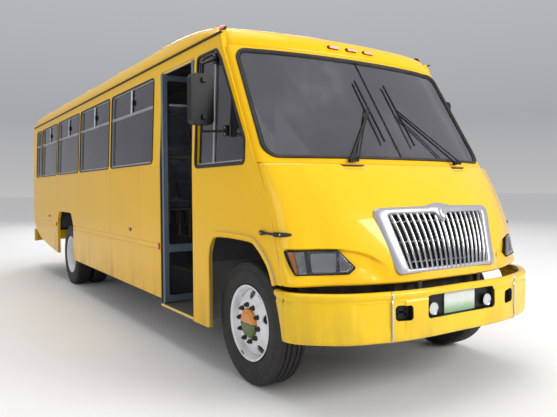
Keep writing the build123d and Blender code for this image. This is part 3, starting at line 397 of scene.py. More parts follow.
def plate_mat():
    """blank pressed plate, pale, with a painted reflection of grass in green over the lower part of the front plate"""
    m = Mat("plate_blank")
    x, y, z = m.xyz()
    # mask of the painted grass reflection: green below about 0.7 m, none on the rear plate
    f = m.ramp(m.math("ADD", z, m.math("MULTIPLY", m.noise(20.0, 3.0), 0.03)), 0.66, 0.74)
    back = m.ramp(y, 0.0, 0.1)
    f = m.math("MAXIMUM", f, back)
    c = m.mix(f, (0.22, 0.42, 0.22), (0.66, 0.70, 0.66))
    c = m.mix(m.math("MULTIPLY", m.noise(40.0, 6.0), 0.25), c, (0.45, 0.46, 0.42))
    return m.done(m.bsdf(Base_Color=c, Roughness=0.38, Normal=m.bump(m.noise(90.0), 0.1, 0.0008, m.soft_edge(0.002))))


M["plate"] = plate_mat()


def floor_covering():
    m = Mat("ribbed_floor")
    w = m.n("ShaderNodeTexWave", wave_type="BANDS", bands_direction="X")
    w.inputs["Scale"].default_value = 26.0
    m.link(m.co, w.inputs["Vector"])
    c = m.mix(m.noise(5.0, 6.0), (0.055, 0.056, 0.06), (0.10, 0.10, 0.105))
    c = m.mix(m.ramp(m.noise(2.2, 6.0), 0.45, 0.75, 0.0, 0.35), c, (0.17, 0.15, 0.12))
    nb = m.bump(w.outputs["Fac"], 0.7, 0.003, m.soft_edge(0.002))
    return m.done(m.bsdf(Base_Color=c, Roughness=m.ramp(m.noise(9.0), 0.3, 0.7, 0.5, 0.75), Normal=nb))


M["floor"] = floor_covering()
M["step"] = solid("step_plate", (0.20, 0.20, 0.20), 0.45, metal=0.5, grain=60.0, grain_k=0.6, cells=True, depth=0.002, dust=0.35)

# ---------------------------------------------------------------- the stage: pale floor, soft light
world = bpy.data.worlds.new("studio")
bpy.context.scene.world = world
world.use_nodes = True
wt = world.node_tree
wt.nodes.clear()
wo = wt.nodes.new("ShaderNodeOutputWorld")
wb = wt.nodes.new("ShaderNodeBackground")
tc = wt.nodes.new("ShaderNodeTexCoord")
sp = wt.nodes.new("ShaderNodeSeparateXYZ")
rp = wt.nodes.new("ShaderNodeValToRGB")
mr = wt.nodes.new("ShaderNodeMapRange")
mr.inputs["From Min"].default_value, mr.inputs["From Max"].default_value = -1.0, 1.0
wt.links.new(tc.outputs["Generated"], sp.inputs[0])
wt.links.new(sp.outputs["Z"], mr.inputs["Value"])
wt.links.new(mr.outputs[0], rp.inputs[0])
wt.links.new(rp.outputs[0], wb.inputs["Color"])
wt.links.new(wb.outputs[0], wo.inputs["Surface"])
e = rp.color_ramp.elements
e[0].position, e[0].color = 0.0, (0.80, 0.80, 0.80, 1)
e[1].position, e[1].color = 1.0, (1.0, 1.0, 1.0, 1)
for p, c in ((0.49, (0.86, 0.86, 0.86)), (0.505, (0.80, 0.80, 0.81)), (0.56, (0.62, 0.63, 0.66)), (0.72, (0.86, 0.87, 0.90))):
    n = e.new(p)
    n.color = (*c, 1)
wb.inputs["Strength"].default_value = 0.62

fm = Mat("pale_floor")
c = fm.mix(fm.noise(0.35, 5.0), (0.80, 0.80, 0.80), (0.86, 0.86, 0.86))
fb = fm.bsdf(Base_Color=c, Roughness=fm.ramp(fm.noise(1.5), 0.3, 0.7, 0.55, 0.7), Normal=fm.bump(fm.noise(60.0), 0.05, 0.001))
fm.done(fb)
me = bpy.data.meshes.new("floor_plane")
me.from_pydata([(-160, -160, 0), (160, -160, 0), (160, 160, 0), (-160, 160, 0)], [], [(0, 1, 2, 3)])
floor_plane = bpy.data.objects.new("floor_plane", me)
floor_plane.data.materials.append(fm.m)
bpy.context.scene.collection.objects.link(floor_plane)


def area(name, at, to, size, power, colour=(1, 1, 1)):
    d = bpy.data.lights.new(name, "AREA")
    d.shape, d.size, d.size_y, d.energy, d.color = "RECTANGLE", size[0], size[1], power, colour
    o = bpy.data.objects.new(name, d)
    bpy.context.scene.collection.objects.link(o)
    o.location = at
    o.rotation_mode = "QUATERNION"
    o.rotation_quaternion = (Vector(to) - Vector(at)).to_track_quat("-Z", "Y")
    return o


area("key", (6.5, -15.0, 7.5), (0.0, -3.5, 1.4), (7, 6), 1500, (1.0, 0.985, 0.95))
area("fill", (-13.0, -7.0, 6.0), (-1.0, -1.0, 1.4), (8, 6), 230, (0.96, 0.98, 1.0))
area("top", (0.0, 1.0, 13.0), (0.0, 0.0, 1.0), (9, 14), 900)
area("back", (9.0, 15.0, 8.0), (0.0, 3.0, 1.5), (8, 7), 1100)
bpy.context.scene.view_settings.view_transform = "Standard"
bpy.context.scene.view_settings.look = "None"


# ---------------------------------------------------------------- geometry helpers, in millimetres and stations
class Geo:
    def __init__(self):
        self.v, self.f, self.m = [], [], []

    def add(self, vf, m=0):
        v, f = vf
        b = len(self.v)
        self.v += [tuple(p) for p in v]
        self.f += [tuple(i + b for i in q) for q in f]
        self.m += [m] * len(f)
        return self


def skin(rows, close_u=False, close_v=False):
    """quads through rows of points"""
    nu, nv = len(rows), len(rows[0])
    v = [p for r in rows for p in r]
    f = []
    for i in range(nu if close_u else nu - 1):
        for j in range(nv if close_v else nv - 1):
            a, b = i * nv + j, i * nv + (j + 1) % nv
            c, d = ((i + 1) % nu) * nv + (j + 1) % nv, ((i + 1) % nu) * nv + j
            f.append((a, b, c, d))
    return v, f


def curve(pts, n=6, close=False):
    """smooth line through points"""
    P = [Vector(p) for p in pts]
    m, out = len(P), []
    for i in range(m if close else m - 1):
        p1, p2 = P[i], P[(i + 1) % m]
        p0 = P[i - 1] if (close or i) else p1 * 2 - p2
        p3 = P[(i + 2) % m] if (close or i + 2 < m) else p2 * 2 - p1
        for k in range(n):
            t = k / n
            out.append(0.5 * ((2 * p1) + (p2 - p0) * t + (2 * p0 - 5 * p1 + 4 * p2 - p3) * t * t + (3 * p1 - p0 - 3 * p2 + p3) * t ** 3))
    if not close:
        out.append(P[-1])
    return [tuple(p) for p in out]


def tube(pts, r, n=12, close=False, flat=1.0):
    """round bar along points, ends closed; r is one radius or one for each point"""
    P = [Vector(p) for p in pts]
    m = len(P)
    R = [r] * m if isinstance(r, (int, float)) else list(r)
    T = []
    for i in range(m):
        a, b = P[(i - 1) % m] if (close or i) else P[i], P[(i + 1) % m] if (close or i < m - 1) else P[i]
        T.append((b - a).normalized())
    ref = Vector((0, 0, 1)) if abs(T[0].z) < 0.9 else Vector((1, 0, 0))
    nrm = (ref - T[0] * ref.dot(T[0])).normalized()
    rows = []
    for i in range(m):
        nrm = (nrm - T[i] * nrm.dot(T[i])).normalized()
        bi = T[i].cross(nrm)
        rows.append([tuple(P[i] + (nrm * cos(2 * pi * k / n) + bi * sin(2 * pi * k / n) * flat) * R[i]) for k in range(n)])
    v, f = skin(rows, close_u=close, close_v=True)
    if not close:
        f.append(tuple(range(n))[::-1])
        f.append(tuple(range((m - 1) * n, m * n)))
    return v, f


def sweep(pts, prof, side, close=False):
    """section prof of (a, b) carried along pts: a along the inward normal of the line, b along side(i) or a fixed vector"""
    P = [Vector(p) for p in pts]
    m, rows = len(P), []
    for i in range(m):
        a, b = P[(i - 1) % m] if (close or i) else P[i], P[(i + 1) % m] if (close or i < m - 1) else P[i]
        t = (b - a).normalized()
        s = Vector(side(i) if callable(side) else side).normalized()
        s = (s - t * s.dot(t)).normalized()
        q = s.cross(t)
        rows.append([tuple(P[i] + q * u + s * w) for u, w in prof])
    v, f = skin(rows, close_u=close, close_v=True)
    if not close:
        k = len(prof)
        f.append(tuple(range(k))[::-1])
        f.append(tuple(range((m - 1) * k, m * k)))
    return v, f


def round_poly(pts, r, seg=5):
    """outline with rounded corners; r is one radius or one for each corner"""
    n, out = len(pts), []
    R = [r] * n if isinstance(r, (int, float)) else r
    for i in range(n):
        p, a, b = Vector(pts[i]), Vector(pts[i - 1]), Vector(pts[(i + 1) % n])
        u, w = (a - p), (b - p)
        lu, lw = u.length, w.length
        u.normalize(), w.normalize()
        ang = u.angle(w)
        if R[i] <= 0 or ang > 3.1:
            out.append(tuple(p))
            continue
        d = min(R[i] / tan(ang / 2), lu * 0.48, lw * 0.48)
        rr = d * tan(ang / 2)
        c = p + (u + w).normalized() * (rr / sin(ang / 2))
        s0, s1 = p + u * d - c, p + w * d - c
        tot = s0.angle(s1)
        for k in range(seg + 1):
            t = k / seg
            q = (s0 * sin((1 - t) * tot) + s1 * sin(t * tot)) / sin(tot) if tot > 1e-5 else s0
            out.append(tuple(c + q))
    return out


def prism(poly, axis, a, b):
    """outline pushed along an axis: x takes (station, z), y takes (x, z), z takes (x, station)"""
    put = {"x": lambda u, w, t: (t, u, w), "y": lambda u, w, t: (u, t, w), "z": lambda u, w, t: (u, w, t)}[axis]
    n = len(poly)
    v = [put(u, w, a) for u, w in poly] + [put(u, w, b) for u, w in poly]
    f = [tuple(range(n))[::-1], tuple(range(n, 2 * n))]
    f += [(i, (i + 1) % n, n + (i + 1) % n, n + i) for i in range(n)]
    return v, f


def block(x0, x1, y0, y1, z0, z1):
    return prism([(x0, y0), (x1, y0), (x1, y1), (x0, y1)], "z", z0, z1)


def lathe(prof, yc, zc, n=72, close=True):
    """outline of (x, radius) turned about the wheel axis"""
    rows = []
    for i in range(n):
        a = 2 * pi * i / n
        rows.append([(x, yc + r * cos(a), zc + r * sin(a)) for x, r in prof])
    return skin(rows, close_u=True, close_v=close)


def made(name, geo, mats, body, bevel=0.0, seg=2, sharp=35.0, weld=0.02, replaces=(), sub=0, flip_fix=True):
    me = bpy.data.meshes.new(name)
    me.from_pydata([W(p) for p in geo.v], [], geo.f)
    mats = mats if isinstance(mats, (list, tuple)) else [mats]
    for mt in mats:
        me.materials.append(mt)
    me.polygons.foreach_set("material_index", geo.m)
    bm = bmesh.new()
    bm.from_mesh(me)
    if weld:
        bmesh.ops.remove_doubles(bm, verts=bm.verts, dist=weld / 1000.0)
    if flip_fix:
        bmesh.ops.recalc_face_normals(bm, faces=bm.faces)
    bm.to_mesh(me)
    bm.free()
    me.polygons.foreach_set("use_smooth", [True] * len(me.polygons))
    ob = bpy.data.objects.new(name, me)
    bpy.context.scene.collection.objects.link(ob)
    if bevel:
        b = ob.modifiers.new("edges", "BEVEL")
        b.width, b.segments, b.limit_method, b.angle_limit = bevel / 1000.0, seg, "ANGLE", radians(32)
        b.harden_normals = False
        b.use_clamp_overlap = True
    elif sub:
        s = ob.modifiers.new("smooth", "SUBSURF")
        s.levels = s.render_levels = sub
    if sharp and not bevel and not sub:
        me.set_sharp_from_angle(angle=radians(sharp))
    if bevel:
        wn = ob.modifiers.new("normals", "WEIGHTED_NORMAL")
        wn.keep_sharp = False
    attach(ob, body)
    if replaces:
        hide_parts(*replaces)
    return ob


def cut(ob, cutters, solver="EXACT"):
    """subtracts closed outlines from a piece and keeps the result as plain mesh"""
    world = ob.matrix_world.copy()
    for g in cutters:
        me = bpy.data.meshes.new("cutter")
        me.from_pydata([W(p) for p in g.v], [], g.f)
        bm = bmesh.new()
        bm.from_mesh(me)
        bmesh.ops.recalc_face_normals(bm, faces=bm.faces)
        bm.to_mesh(me)
        bm.free()
        co = bpy.data.objects.new("cutter", me)
        bpy.context.scene.collection.objects.link(co)
        mod = ob.modifiers.new("cut", "BOOLEAN")
        mod.operation, mod.solver, mod.object = "DIFFERENCE", solver, co
        dg = bpy.context.evaluated_depsgraph_get()
        new = bpy.data.meshes.new_from_object(ob.evaluated_get(dg), preserve_all_data_layers=True, depsgraph=dg)
        ob.modifiers.remove(mod)
        old = ob.data
        ob.data = new
        new.name = old.name
        bpy.data.objects.remove(co)
    ob.data.set_sharp_from_angle(angle=radians(35))
    return ob


def paint_node(name, mat, smooth=28.0):
    """a carried-over part keeps its shape and takes a finish"""
    o = NODES[name]
    o.data.materials.clear()
    for mt in (mat if isinstance(mat, (list, tuple)) else [mat]):
        o.data.materials.append(mt)
    return o


# ---------------------------------------------------------------- finish of the carried-over parts
FINISH = {
    "chassis_frame": "chassis", "frame_members": "chassis", "wheel_housings": "trim", "step_well": "step", "engine": "engine", "engine_cover": "trim", "fuel_tank": "chassis", "exhaust": "exhaust",
    "front_axle": "chassis", "rear_axle": "chassis", "leaf_springs": "chassis", "drive_shaft": "chassis", "floor": "floor",
    "right_lower_panel": "panel", "left_lower_panel": "panel", "right_window_band": "paint", "left_window_band": "paint",
    "right_window_frames": "alu", "left_window_frames": "alu", "right_window_glass": "glass", "left_window_glass": "glass",
    "right_front_side": "paint", "left_front_side": "paint", "roof": "paint", "front_cap": "paint", "windscreen": "screen",
    "rear_wall": "paint", "rear_window_glass": "glass", "rub_rails": "panel", "front_bumper": "bumper", "rear_bumper": "bumper",
    "lamps": "red", "number_plates": "plate", "mirrors": "black", "wipers": "black", "dashboard": "trim",
    "steering_wheel": "black", "driver_seat": "vinyl", "passenger_seats": "vinyl", "grab_rails": "rail",
    "right_knuckle": "chassis", "left_knuckle": "chassis", "tie_rod": "chassis",
    "front_right_tyre": "tyre", "front_left_tyre": "tyre", "rear_right_tyres": "tyre", "rear_left_tyres": "tyre",
    "front_right_wheel": "wheel", "front_left_wheel": "wheel", "rear_right_wheels": "wheel", "rear_left_wheels": "wheel",
    "front_door_leaf": "doorframe", "front_door_glass": "doorglass", "rear_door_leaf": "doorframe", "rear_door_glass": "doorglass",
    "nose_shell": "nose", "grille": "silver", "headlamps": "clear", "nose_latches": "rubber",
}
for node, key in FINISH.items():
    paint_node(node, M[key])

# ================================================================ pieces

# ---------------------------------------------------------------- the nose surface
# plan sections: height, half width, centre, knee x, knee station, corner x, station, side station
NOSE = ((872.0, 1250.0, -1015.0, 520.0, -985.0, 960.0, -830.0, -625.0),
        (1380.0, 1250.0, -880.0, 600.0, -822.0, 1010.0, -685.0, -475.0),
        (1722.0, 1246.0, -612.0, 700.0, -565.0, 1060.0, -465.0, -312.0))
SCREEN = ((1722.0, 1240.0, -552.0, 700.0, -492.0, 1010.0, -405.0, -285.0),
          (2700.0, 1192.0, 98.0, 660.0, 138.0, 960.0, 194.0, 290.0))
BUMP = (1262.0, -1120.0, 640.0, -1085.0, 1045.0, -925.0, -640.0)


def section(secs, z):
    zs = [r[0] for r in secs]
    out = []
    for k in range(1, 8):
        v = 0.0
        for i in range(len(secs)):
            w = 1.0
            for j in range(len(secs)):
                if j != i:
                    w *= (z - zs[j]) / (zs[i] - zs[j])
            v += w * secs[i][k]
        out.append(v)
    return out


def plan_line(s, n=60):
    """half of a plan section from the centre to the side, one smooth line"""
    hw, yc, kx, ky, mx, my, sy = s
    P = np.array([(0, yc), (kx, ky), (mx, my), (hw, sy)], float)
    L = np.linalg.norm(np.diff(P, axis=0), axis=1)
    T = np.zeros((4, 2))
    T[0], T[3] = (1, 0), (0, 1)
    for i in (1, 2):
        a, b = (P[i] - P[i - 1]) / L[i - 1], (P[i + 1] - P[i]) / L[i]
        T[i] = (a * L[i] + b * L[i - 1]) / (L[i] + L[i - 1])
    out = []
    for i in range(3):
        for k in range(n):
            u = k / n
            out.append((2 * u ** 3 - 3 * u * u + 1) * P[i] + (u ** 3 - 2 * u * u + u) * L[i] * T[i]
                       + (-2 * u ** 3 + 3 * u * u) * P[i + 1] + (u ** 3 - u * u) * L[i] * T[i + 1])
    out.append(P[3])
    return np.array(out)


class Face:
    """a front surface given by plan sections: points by (x, z) or by (share of the half line, z), with an offset outward"""

    def __init__(self, secs):
        self.secs = secs
        self.rows = {}

    def row(self, z):
        k = round(z, 1)
        if k not in self.rows:
            c = plan_line(section(self.secs, k)) if len(self.secs) > 1 else plan_line(self.secs[0])
            L = np.concatenate([[0], np.cumsum(np.linalg.norm(np.diff(c, axis=0), axis=1))])
            self.rows[k] = (c, L / L[-1])
        return self.rows[k]

    def y(self, x, z):
        c, _ = self.row(z)
        return float(np.interp(abs(x), c[:, 0], c[:, 1]))

    def at(self, x, z, off=0.0):
        y = self.y(x, z)
        if not off:
            return (x, y, z)
        h = 5.0
        fx = (self.y(abs(x) + h, z) - self.y(max(abs(x) - h, 0), z)) / (abs(x) + h - max(abs(x) - h, 0)) * (1 if x >= 0 else -1)
        fz = (self.y(x, z + h) - self.y(x, z - h)) / (2 * h)
        n = Vector((fx, -1.0, fz)).normalized()
        return (x + n.x * off, y + n.y * off, z + n.z * off)

    def by(self, t, z):
        """t from -1 to 1 across the face"""
        c, L = self.row(z)
        a = abs(t)
        x, y = float(np.interp(a, L, c[:, 0])), float(np.interp(a, L, c[:, 1]))
        return (x if t >= 0 else -x, y, z)

    def normal(self, t, z):
        e, h = 0.01, 6.0
        a, b = Vector(self.by(min(t + e, 1), z)), Vector(self.by(max(t - e, -1), z))
        c, d = Vector(self.by(t, z + h)), Vector(self.by(t, z - h))
        n = (a - b).cross(c - d)
        return n.normalized() if n.y < 0 or abs(n.x) > abs(n.y) else -n.normalized()


nose_f, screen_f = Face(NOSE), Face(SCREEN)
bump_f = Face(((660.0,) + BUMP, (661.0,) + BUMP))


def slab(face, o0, o1, ts, zs, relief=None, low=None, high=None):
    """closed shell between two offsets of a face; relief(x, z) pushes the outer skin inward"""
    outer, inner = [], []
    for z in zs:
        ro, ri = [], []
        for t in ts:
            zz = z
            if low and z == zs[0]:
                zz = z
            p = Vector(face.by(t, zz))
            n = face.normal(t, zz)
            d = relief(p.x, p.z) if relief else 0.0
            ro.append(tuple(p + n * (o0 - d)))
            ri.append(tuple(p + n * (o1 - (d if o1 - o0 > -12 else 0.0))))
        outer.append(ro)
        inner.append(ri)
    nu, nv = len(zs), len(ts)
    v = [p for r in outer for p in r] + [p for r in inner for p in r]
    k = nu * nv
    f = []
    for i in range(nu - 1):
        for j in range(nv - 1):
            a = i * nv + j
            f.append((a, a + 1, a + nv + 1, a + nv))
            f.append((k + a, k + a + nv, k + a + nv + 1, k + a + 1))
    for j in range(nv - 1):
        f.append((j, k + j, k + j + 1, j + 1))
        a = (nu - 1) * nv + j
        f.append((a, a + 1, k + a + 1, k + a))
    for i in range(nu - 1):
        a, b = i * nv, i * nv + nv - 1
        f.append((a, a + nv, k + a + nv, k + a))
        f.append((b, k + b, k + b + nv, b + nv))
    return v, f


def spaced(a, b, n):
    return [a + (b - a) * i / (n - 1) for i in range(n)]


def step01(v, a, b):
    t = min(1.0, max(0.0, (v - a) / (b - a)))
    return t * t * (3 - 2 * t)


# scoop beside each headlamp: upper line from the lamp's top inward and down to the lower edge
SCOOP = [(1300.0, 1122.0), (1180.0, 1124.0), (1050.0, 1124.0), (925.0, 1121.0), (860.0, 1112.0), (790.0, 1098.0), (708.0, 1070.0),
         (640.0, 1030.0), (588.0, 988.0), (545.0, 938.0), (515.0, 890.0)]
_sx, _sz = [p[0] for p in SCOOP][::-1], [p[1] for p in SCOOP][::-1]


def nose_relief(x, z):
    a = abs(x)
    d = 0.0
    if 520 < a < 1262 and z < 1135:
        top = float(np.interp(a, _sx, _sz))
        below = top - z
        fade = step01(a, 545, 760) * (1 - step01(a, 1215, 1256))
        d += 26.0 * step01(below, -5, 12) * (1 - step01(below, 55, 190)) * fade
        d += 7.0 * step01(below, -5, 10) * fade * (1 - step01(940 - z, 0, 50))
    # pockets at the upper edge for the wiper drives
    if z > 1640:
        e = abs(a - 585.0)
        d += 17.0 * (1 - step01(e, 70, 128)) * step01(z, 1668, 1700)
    # the lower edge turns under, the seams' edges turn in
    d += 9.0 * (1 - step01(z, 872, 886)) ** 2
    d += 7.0 * step01(z, 1708, 1722) ** 2
    return d


LAMP = [(1198.0, 950.0), (866.0, 952.0), (818.0, 992.0), (922.0, 1114.0), (1232.0, 1113.0)]
nose_ts = sorted(set([round(t, 5) for t in spaced(-1, 1, 251)]))
nose_zs = [872, 876, 882, 890] + spaced(899, 1140, 42) + spaced(1152, 1668, 38) + [1674, 1680, 1686, 1692, 1698, 1704, 1710, 1715, 1719, 1722]
g = Geo().add(slab(nose_f, 0.0, -26.0, nose_ts, nose_zs, relief=nose_relief))
nose_shell = made("nose_cover", g, M["nose"], "nose", replaces=("nose_shell",), weld=0)
g = Geo()
for s in (-1, 1):
    # hinge arms down to the tilt axis, and stiffening ribs on the inside
    g.add(block(s * 302, s * 338, -1006, -965, 790, 884))
    g.add(tube([(s * 296, -1020, 800), (s * 344, -1020, 800)], 22, 24))
    for zz in (1150.0, 1450.0):
        g.add(tube([Vector(nose_f.at(s * x, zz, -30)) for x in spaced(720, 1120, 9)], 11, 8))
made("nose_arms_ribs", g, M["chassis"], "nose", bevel=1.5)
cuts = []
for s in (-1, 1):
    cuts.append(Geo().add(prism(round_poly([(s * x, z) for x, z in LAMP], 13), "y", -1150, -560)))
cuts.append(Geo().add(prism(round_poly([(-478, 935), (478, 935), (575, 1368), (-575, 1368)], 30), "y", -1150, -600)))
cut(nose_shell, cuts, "FAST")

# rubber lip along the upper edge and the side seams of the nose
g = Geo()
for s in (-1, 1):
    line = [Vector(nose_f.by(s * 1.0, z)) + Vector((-s * 9.0, 3.0, 0)) for z in spaced(880, 1715, 40)]
    g.add(tube(line, 6.5, 8))
g.add(tube([Vector(nose_f.at(x, 1716.0, -16)) for x in spaced(-1190, 1190, 81)], 8, 8))
made("nose_seal", g, M["rubber"], "nose")

# ---------------------------------------------------------------- headlamps, built up behind a clear cover
g_bez, g_body, g_clear, g_amber, g_smoke, g_black, g_bulb = Geo(), Geo(), Geo(), Geo(), Geo(), Geo(), Geo()


def relief_loft(face, loops, close=True):
    """rows between outlines of (x, z) with an offset each, all with the same number of points"""
    rows = [[face.at(x, z, o) for x, z in line] for line, o in loops]
    return skin(rows, close_v=close)


def shrink(poly, d):
    """outline moved inward by d, point by point"""
    n, out = len(poly), []
    area2 = sum(poly[i][0] * poly[(i + 1) % n][1] - poly[(i + 1) % n][0] * poly[i][1] for i in range(n))
    sg = 1 if area2 > 0 else -1
    for i in range(n):
        a, p, b = Vector(poly[i - 1]), Vector(poly[i]), Vector(poly[(i + 1) % n])
        u, w = (p - a), (b - p)
        if u.length < 1e-6 or w.length < 1e-6:
            out.append(tuple(p))
            continue
        u.normalize(), w.normalize()
        nu, nw = Vector((-u.y, u.x)) * sg, Vector((-w.y, w.x)) * sg
        m = (nu + nw)
        m.normalize()
        k = d / max(0.35, m.dot(nu))
        out.append(tuple(p + m * k))
    return out


def patch(poly, face, off, thick, nx=30, nz=14):
    """thin closed plate that follows the face inside an outline"""
    cx, cz = sum(p[0] for p in poly) / len(poly), sum(p[1] for p in poly) / len(poly)
    rows = []
    for k in (1.0, 0.985, 0.95, 0.8, 0.6, 0.4, 0.2, 0.02):
        edge = 3.5 * step01(k, 0.93, 1.0)
        rows.append([face.at(cx + (x - cx) * k, cz + (z - cz) * k, off - edge) for x, z in poly])
    front = skin(rows, close_v=True)
    back_rows = [[face.at(cx + (x - cx) * k, cz + (z - cz) * k, off - thick) for x, z in poly] for k in (1.0, 0.6, 0.3, 0.02)]
    n = len(poly)
    v, f = list(front[0]), list(front[1])
    b = len(v)
    bv, bf = skin(back_rows, close_v=True)
    v += bv
    f += [tuple(i + b for i in q)[::-1] for q in bf]
    f += [(i, b + i, b + (i + 1) % n, (i + 1) % n) for i in range(n)]
    f.append(tuple(range(7 * n, 8 * n)))
    f.append(tuple(range(b + 3 * n, b + 4 * n))[::-1])
    return v, f


for s in (-1, 1):
    lamp = round_poly([(s * x, z) for x, z in LAMP], 13, 6)
    rim = shrink(lamp, 3.0)
    # housing: rim, side wall and back
    g_black.add(relief_loft(nose_f, [(shrink(lamp, -3), -8), (shrink(lamp, -3), -1), (lamp, 0.5), (shrink(lamp, 2.5), -1), (shrink(lamp, 3.5), -8),
                                     (shrink(lamp, 3.5), -27), (lamp, -27), (shrink(lamp, -3), -24), (shrink(lamp, -3), -8)]))
    g_bez.add(relief_loft(nose_f, [(shrink(lamp, 4), -8), (shrink(lamp, 5), -14), (shrink(lamp, 12), -58), (shrink(lamp, 40), -84), (shrink(lamp, 44), -90),
                                   (shrink(lamp, 10), -66), (shrink(lamp, 2), -16), (shrink(lamp, 4), -8)]))
    g_clear.add(patch(rim, nose_f, -2.5, 3.5))
    # main lamp: rectangular, with a chrome frame, a ribbed lens and a bulb behind
    main = round_poly([(s * 943, 966), (s * 1094, 966), (s * 1094, 1096), (s * 930, 1096)], 14, 6)
    g_bez.add(relief_loft(nose_f, [(shrink(main, -9), -30), (shrink(main, -8), -17), (shrink(main, -3), -13), (main, -15), (shrink(main, 3), -24),
                                   (shrink(main, 22), -60), (shrink(main, 50), -82), (shrink(main, 54), -88), (shrink(main, 10), -70), (shrink(main, -9), -30)]))
    g_body.add(patch(shrink(main, 3), nose_f, -19, 6))
    cx, cz = s * 1014, 1031
    bp = Vector(nose_f.at(cx, cz, -44))
    rows = []
    for i in range(9):
        a = pi / 2 * i / 8
        rows.append([tuple(bp + Vector((18 * sin(a) * cos(2 * pi * k / 20), -20 * cos(a), 18 * sin(a) * sin(2 * pi * k / 20)))) for k in range(20)])
    g_bulb.add(skin(rows[1:], close_v=True))
    g_bulb.add(skin([rows[-1], [tuple(Vector(p) + Vector((0, 22, 0))) for p in rows[-1]]], close_v=True))
    # inner point of the lamp: plated wedge with a stepped face
    wedge = round_poly([(s * 918, 962), (s * 868, 962), (s * 832, 992), (s * 902, 1086), (s * 917, 1088)], 6, 4)
    g_bez.add(patch(wedge, nose_f, -16, 10))
    inner = round_poly([(s * 908, 972), (s * 872, 974), (s * 852, 993), (s * 902, 1062)], 5, 4)
    g_bulb.add(patch(inner, nose_f, -12, 6))
    # divider, turn lamp, amber corner
    g_black.add(patch(round_poly([(s * 1104, 958), (s * 1122, 958), (s * 1126, 1106), (s * 1106, 1106)], 2, 2), nose_f, -7, 22))
    g_smoke.add(patch(round_poly([(s * 1127, 958), (s * 1176, 957), (s * 1186, 1105), (s * 1131, 1106)], 6, 4), nose_f, -8, 18))
    g_amber.add(patch(round_poly([(s * 1180, 958), (s * 1197, 962), (s * 1221, 1096), (s * 1214, 1104), (s * 1190, 1104)], 4, 4), nose_f, -7, 16))
made("headlamp_housings", g_black, M["black"], "nose", sharp=40)
made("headlamp_reflectors", g_bez, M["chrome"], "nose", sharp=50, replaces=("headlamps",))
M["fluted"] = lens("fluted_glass", (0.62, 0.65, 0.66), flute=100.0, rough=0.08)
made("headlamp_lenses", g_body, M["fluted"], "nose", sharp=40)
made("headlamp_bulbs", g_bulb, M["smoke"], "nose", sharp=40)
made("turn_lamps", g_smoke, M["smoke"], "nose", sharp=40)
made("amber_corners", g_amber, M["amber"], "nose", sharp=40)
made("headlamp_covers", g_clear, M["clear"], "nose", sharp=40)

# ---------------------------------------------------------------- grille: plated surround, round-faced bars, dark core
OUT7 = [(-524, 926), (524, 926), (630, 1388), (150, 1397), (0, 1424), (-150, 1397), (-630, 1388)]
IN7 = [(-428, 962), (428, 962), (512, 1346), (62, 1346), (0, 1272), (-62, 1346), (-512, 1346)]
ro, ri = round_poly(OUT7, [46, 46, 52, 60, 30, 60, 52], 7), round_poly(IN7, [20, 20, 24, 8, 10, 8, 24], 7)


def between(t):
    return [(a[0] + (b[0] - a[0]) * t, a[1] + (b[1] - a[1]) * t) for a, b in zip(ro, ri)]


g = Geo().add(relief_loft(nose_f, [(between(-0.01), -3), (between(0.0), 6), (between(0.04), 14), (between(0.12), 20), (between(0.35), 24), (between(0.6), 25),
                                   (between(0.84), 23), (between(0.94), 19), (between(1.0), 12), (between(1.02), 2), (between(1.02), -16),
                                   (between(0.9), -16), (between(0.86), -2), (between(-0.01), -3)]))
# plain raised boss where a badge would sit
boss = [(34 * cos(a), 1340 + 44 * sin(a)) for a in [2 * pi * i / 36 for i in range(36)]]
g.add(relief_loft(nose_f, [(boss, 20), (shrink(boss, 0.5), 27), (shrink(boss, 3), 30), (shrink(boss, 10), 31.5), (shrink(boss, 20), 32.5), (shrink(boss, 30), 32.8)]))
made("grille_surround", g, M["silver"], "nose", sharp=50, replaces=("grille",))
g = Geo()
prof = [(-9.5, -12), (-9.5, 6), (-8, 11), (-4, 14.5), (0, 15.5), (4, 14.5), (8, 11), (9.5, 6), (9.5, -12)]
for i in range(-8, 9):
    wide = 1.5 if i == 0 else 1.0
    zt = 1362 if abs(i) > 1 else 1330
    rows = []
    for z in spaced(946, zt, 26):
        k = (z - 962) / (1346 - 962)
        xc = i / 8 * (396 + (474 - 396) * k)
        rows.append([nose_f.at(xc + a * wide, z, b - 8) for a, b in prof])
    n = len(prof)
    v, f = skin(rows, close_v=True)
    f += [tuple(range(n)), tuple(range((len(rows) - 1) * n, len(rows) * n))]
    g.add((v, f))
for z in (1010.0, 1155.0, 1300.0):
    k = (z - 962) / (1346 - 962)
    h = 436 + (520 - 436) * k
    g.add(tube([nose_f.at(x, z, -24) for x in spaced(-h, h, 31)], 5, 8))
made("grille_bars", g, M["chrome"], "nose", sharp=50)
core = round_poly([(-470, 930), (470, 930), (566, 1372), (-566, 1372)], 20)
g = Geo().add(patch(core, nose_f, -62, 8))
for z in spaced(960, 1350, 27):
    k = (z - 930) / 442
    h = 462 + 94 * k
    g.add(tube([nose_f.at(x, z, -58) for x in spaced(-h, h, 13)], 3.2, 6))
M["core"] = solid("radiator_core", (0.010, 0.010, 0.011), 0.7, metal=0.2, grain=420.0, grain_k=0.7, dust=0.3, edge=0)
made("grille_core", g, M["core"], "nose", sharp=50)

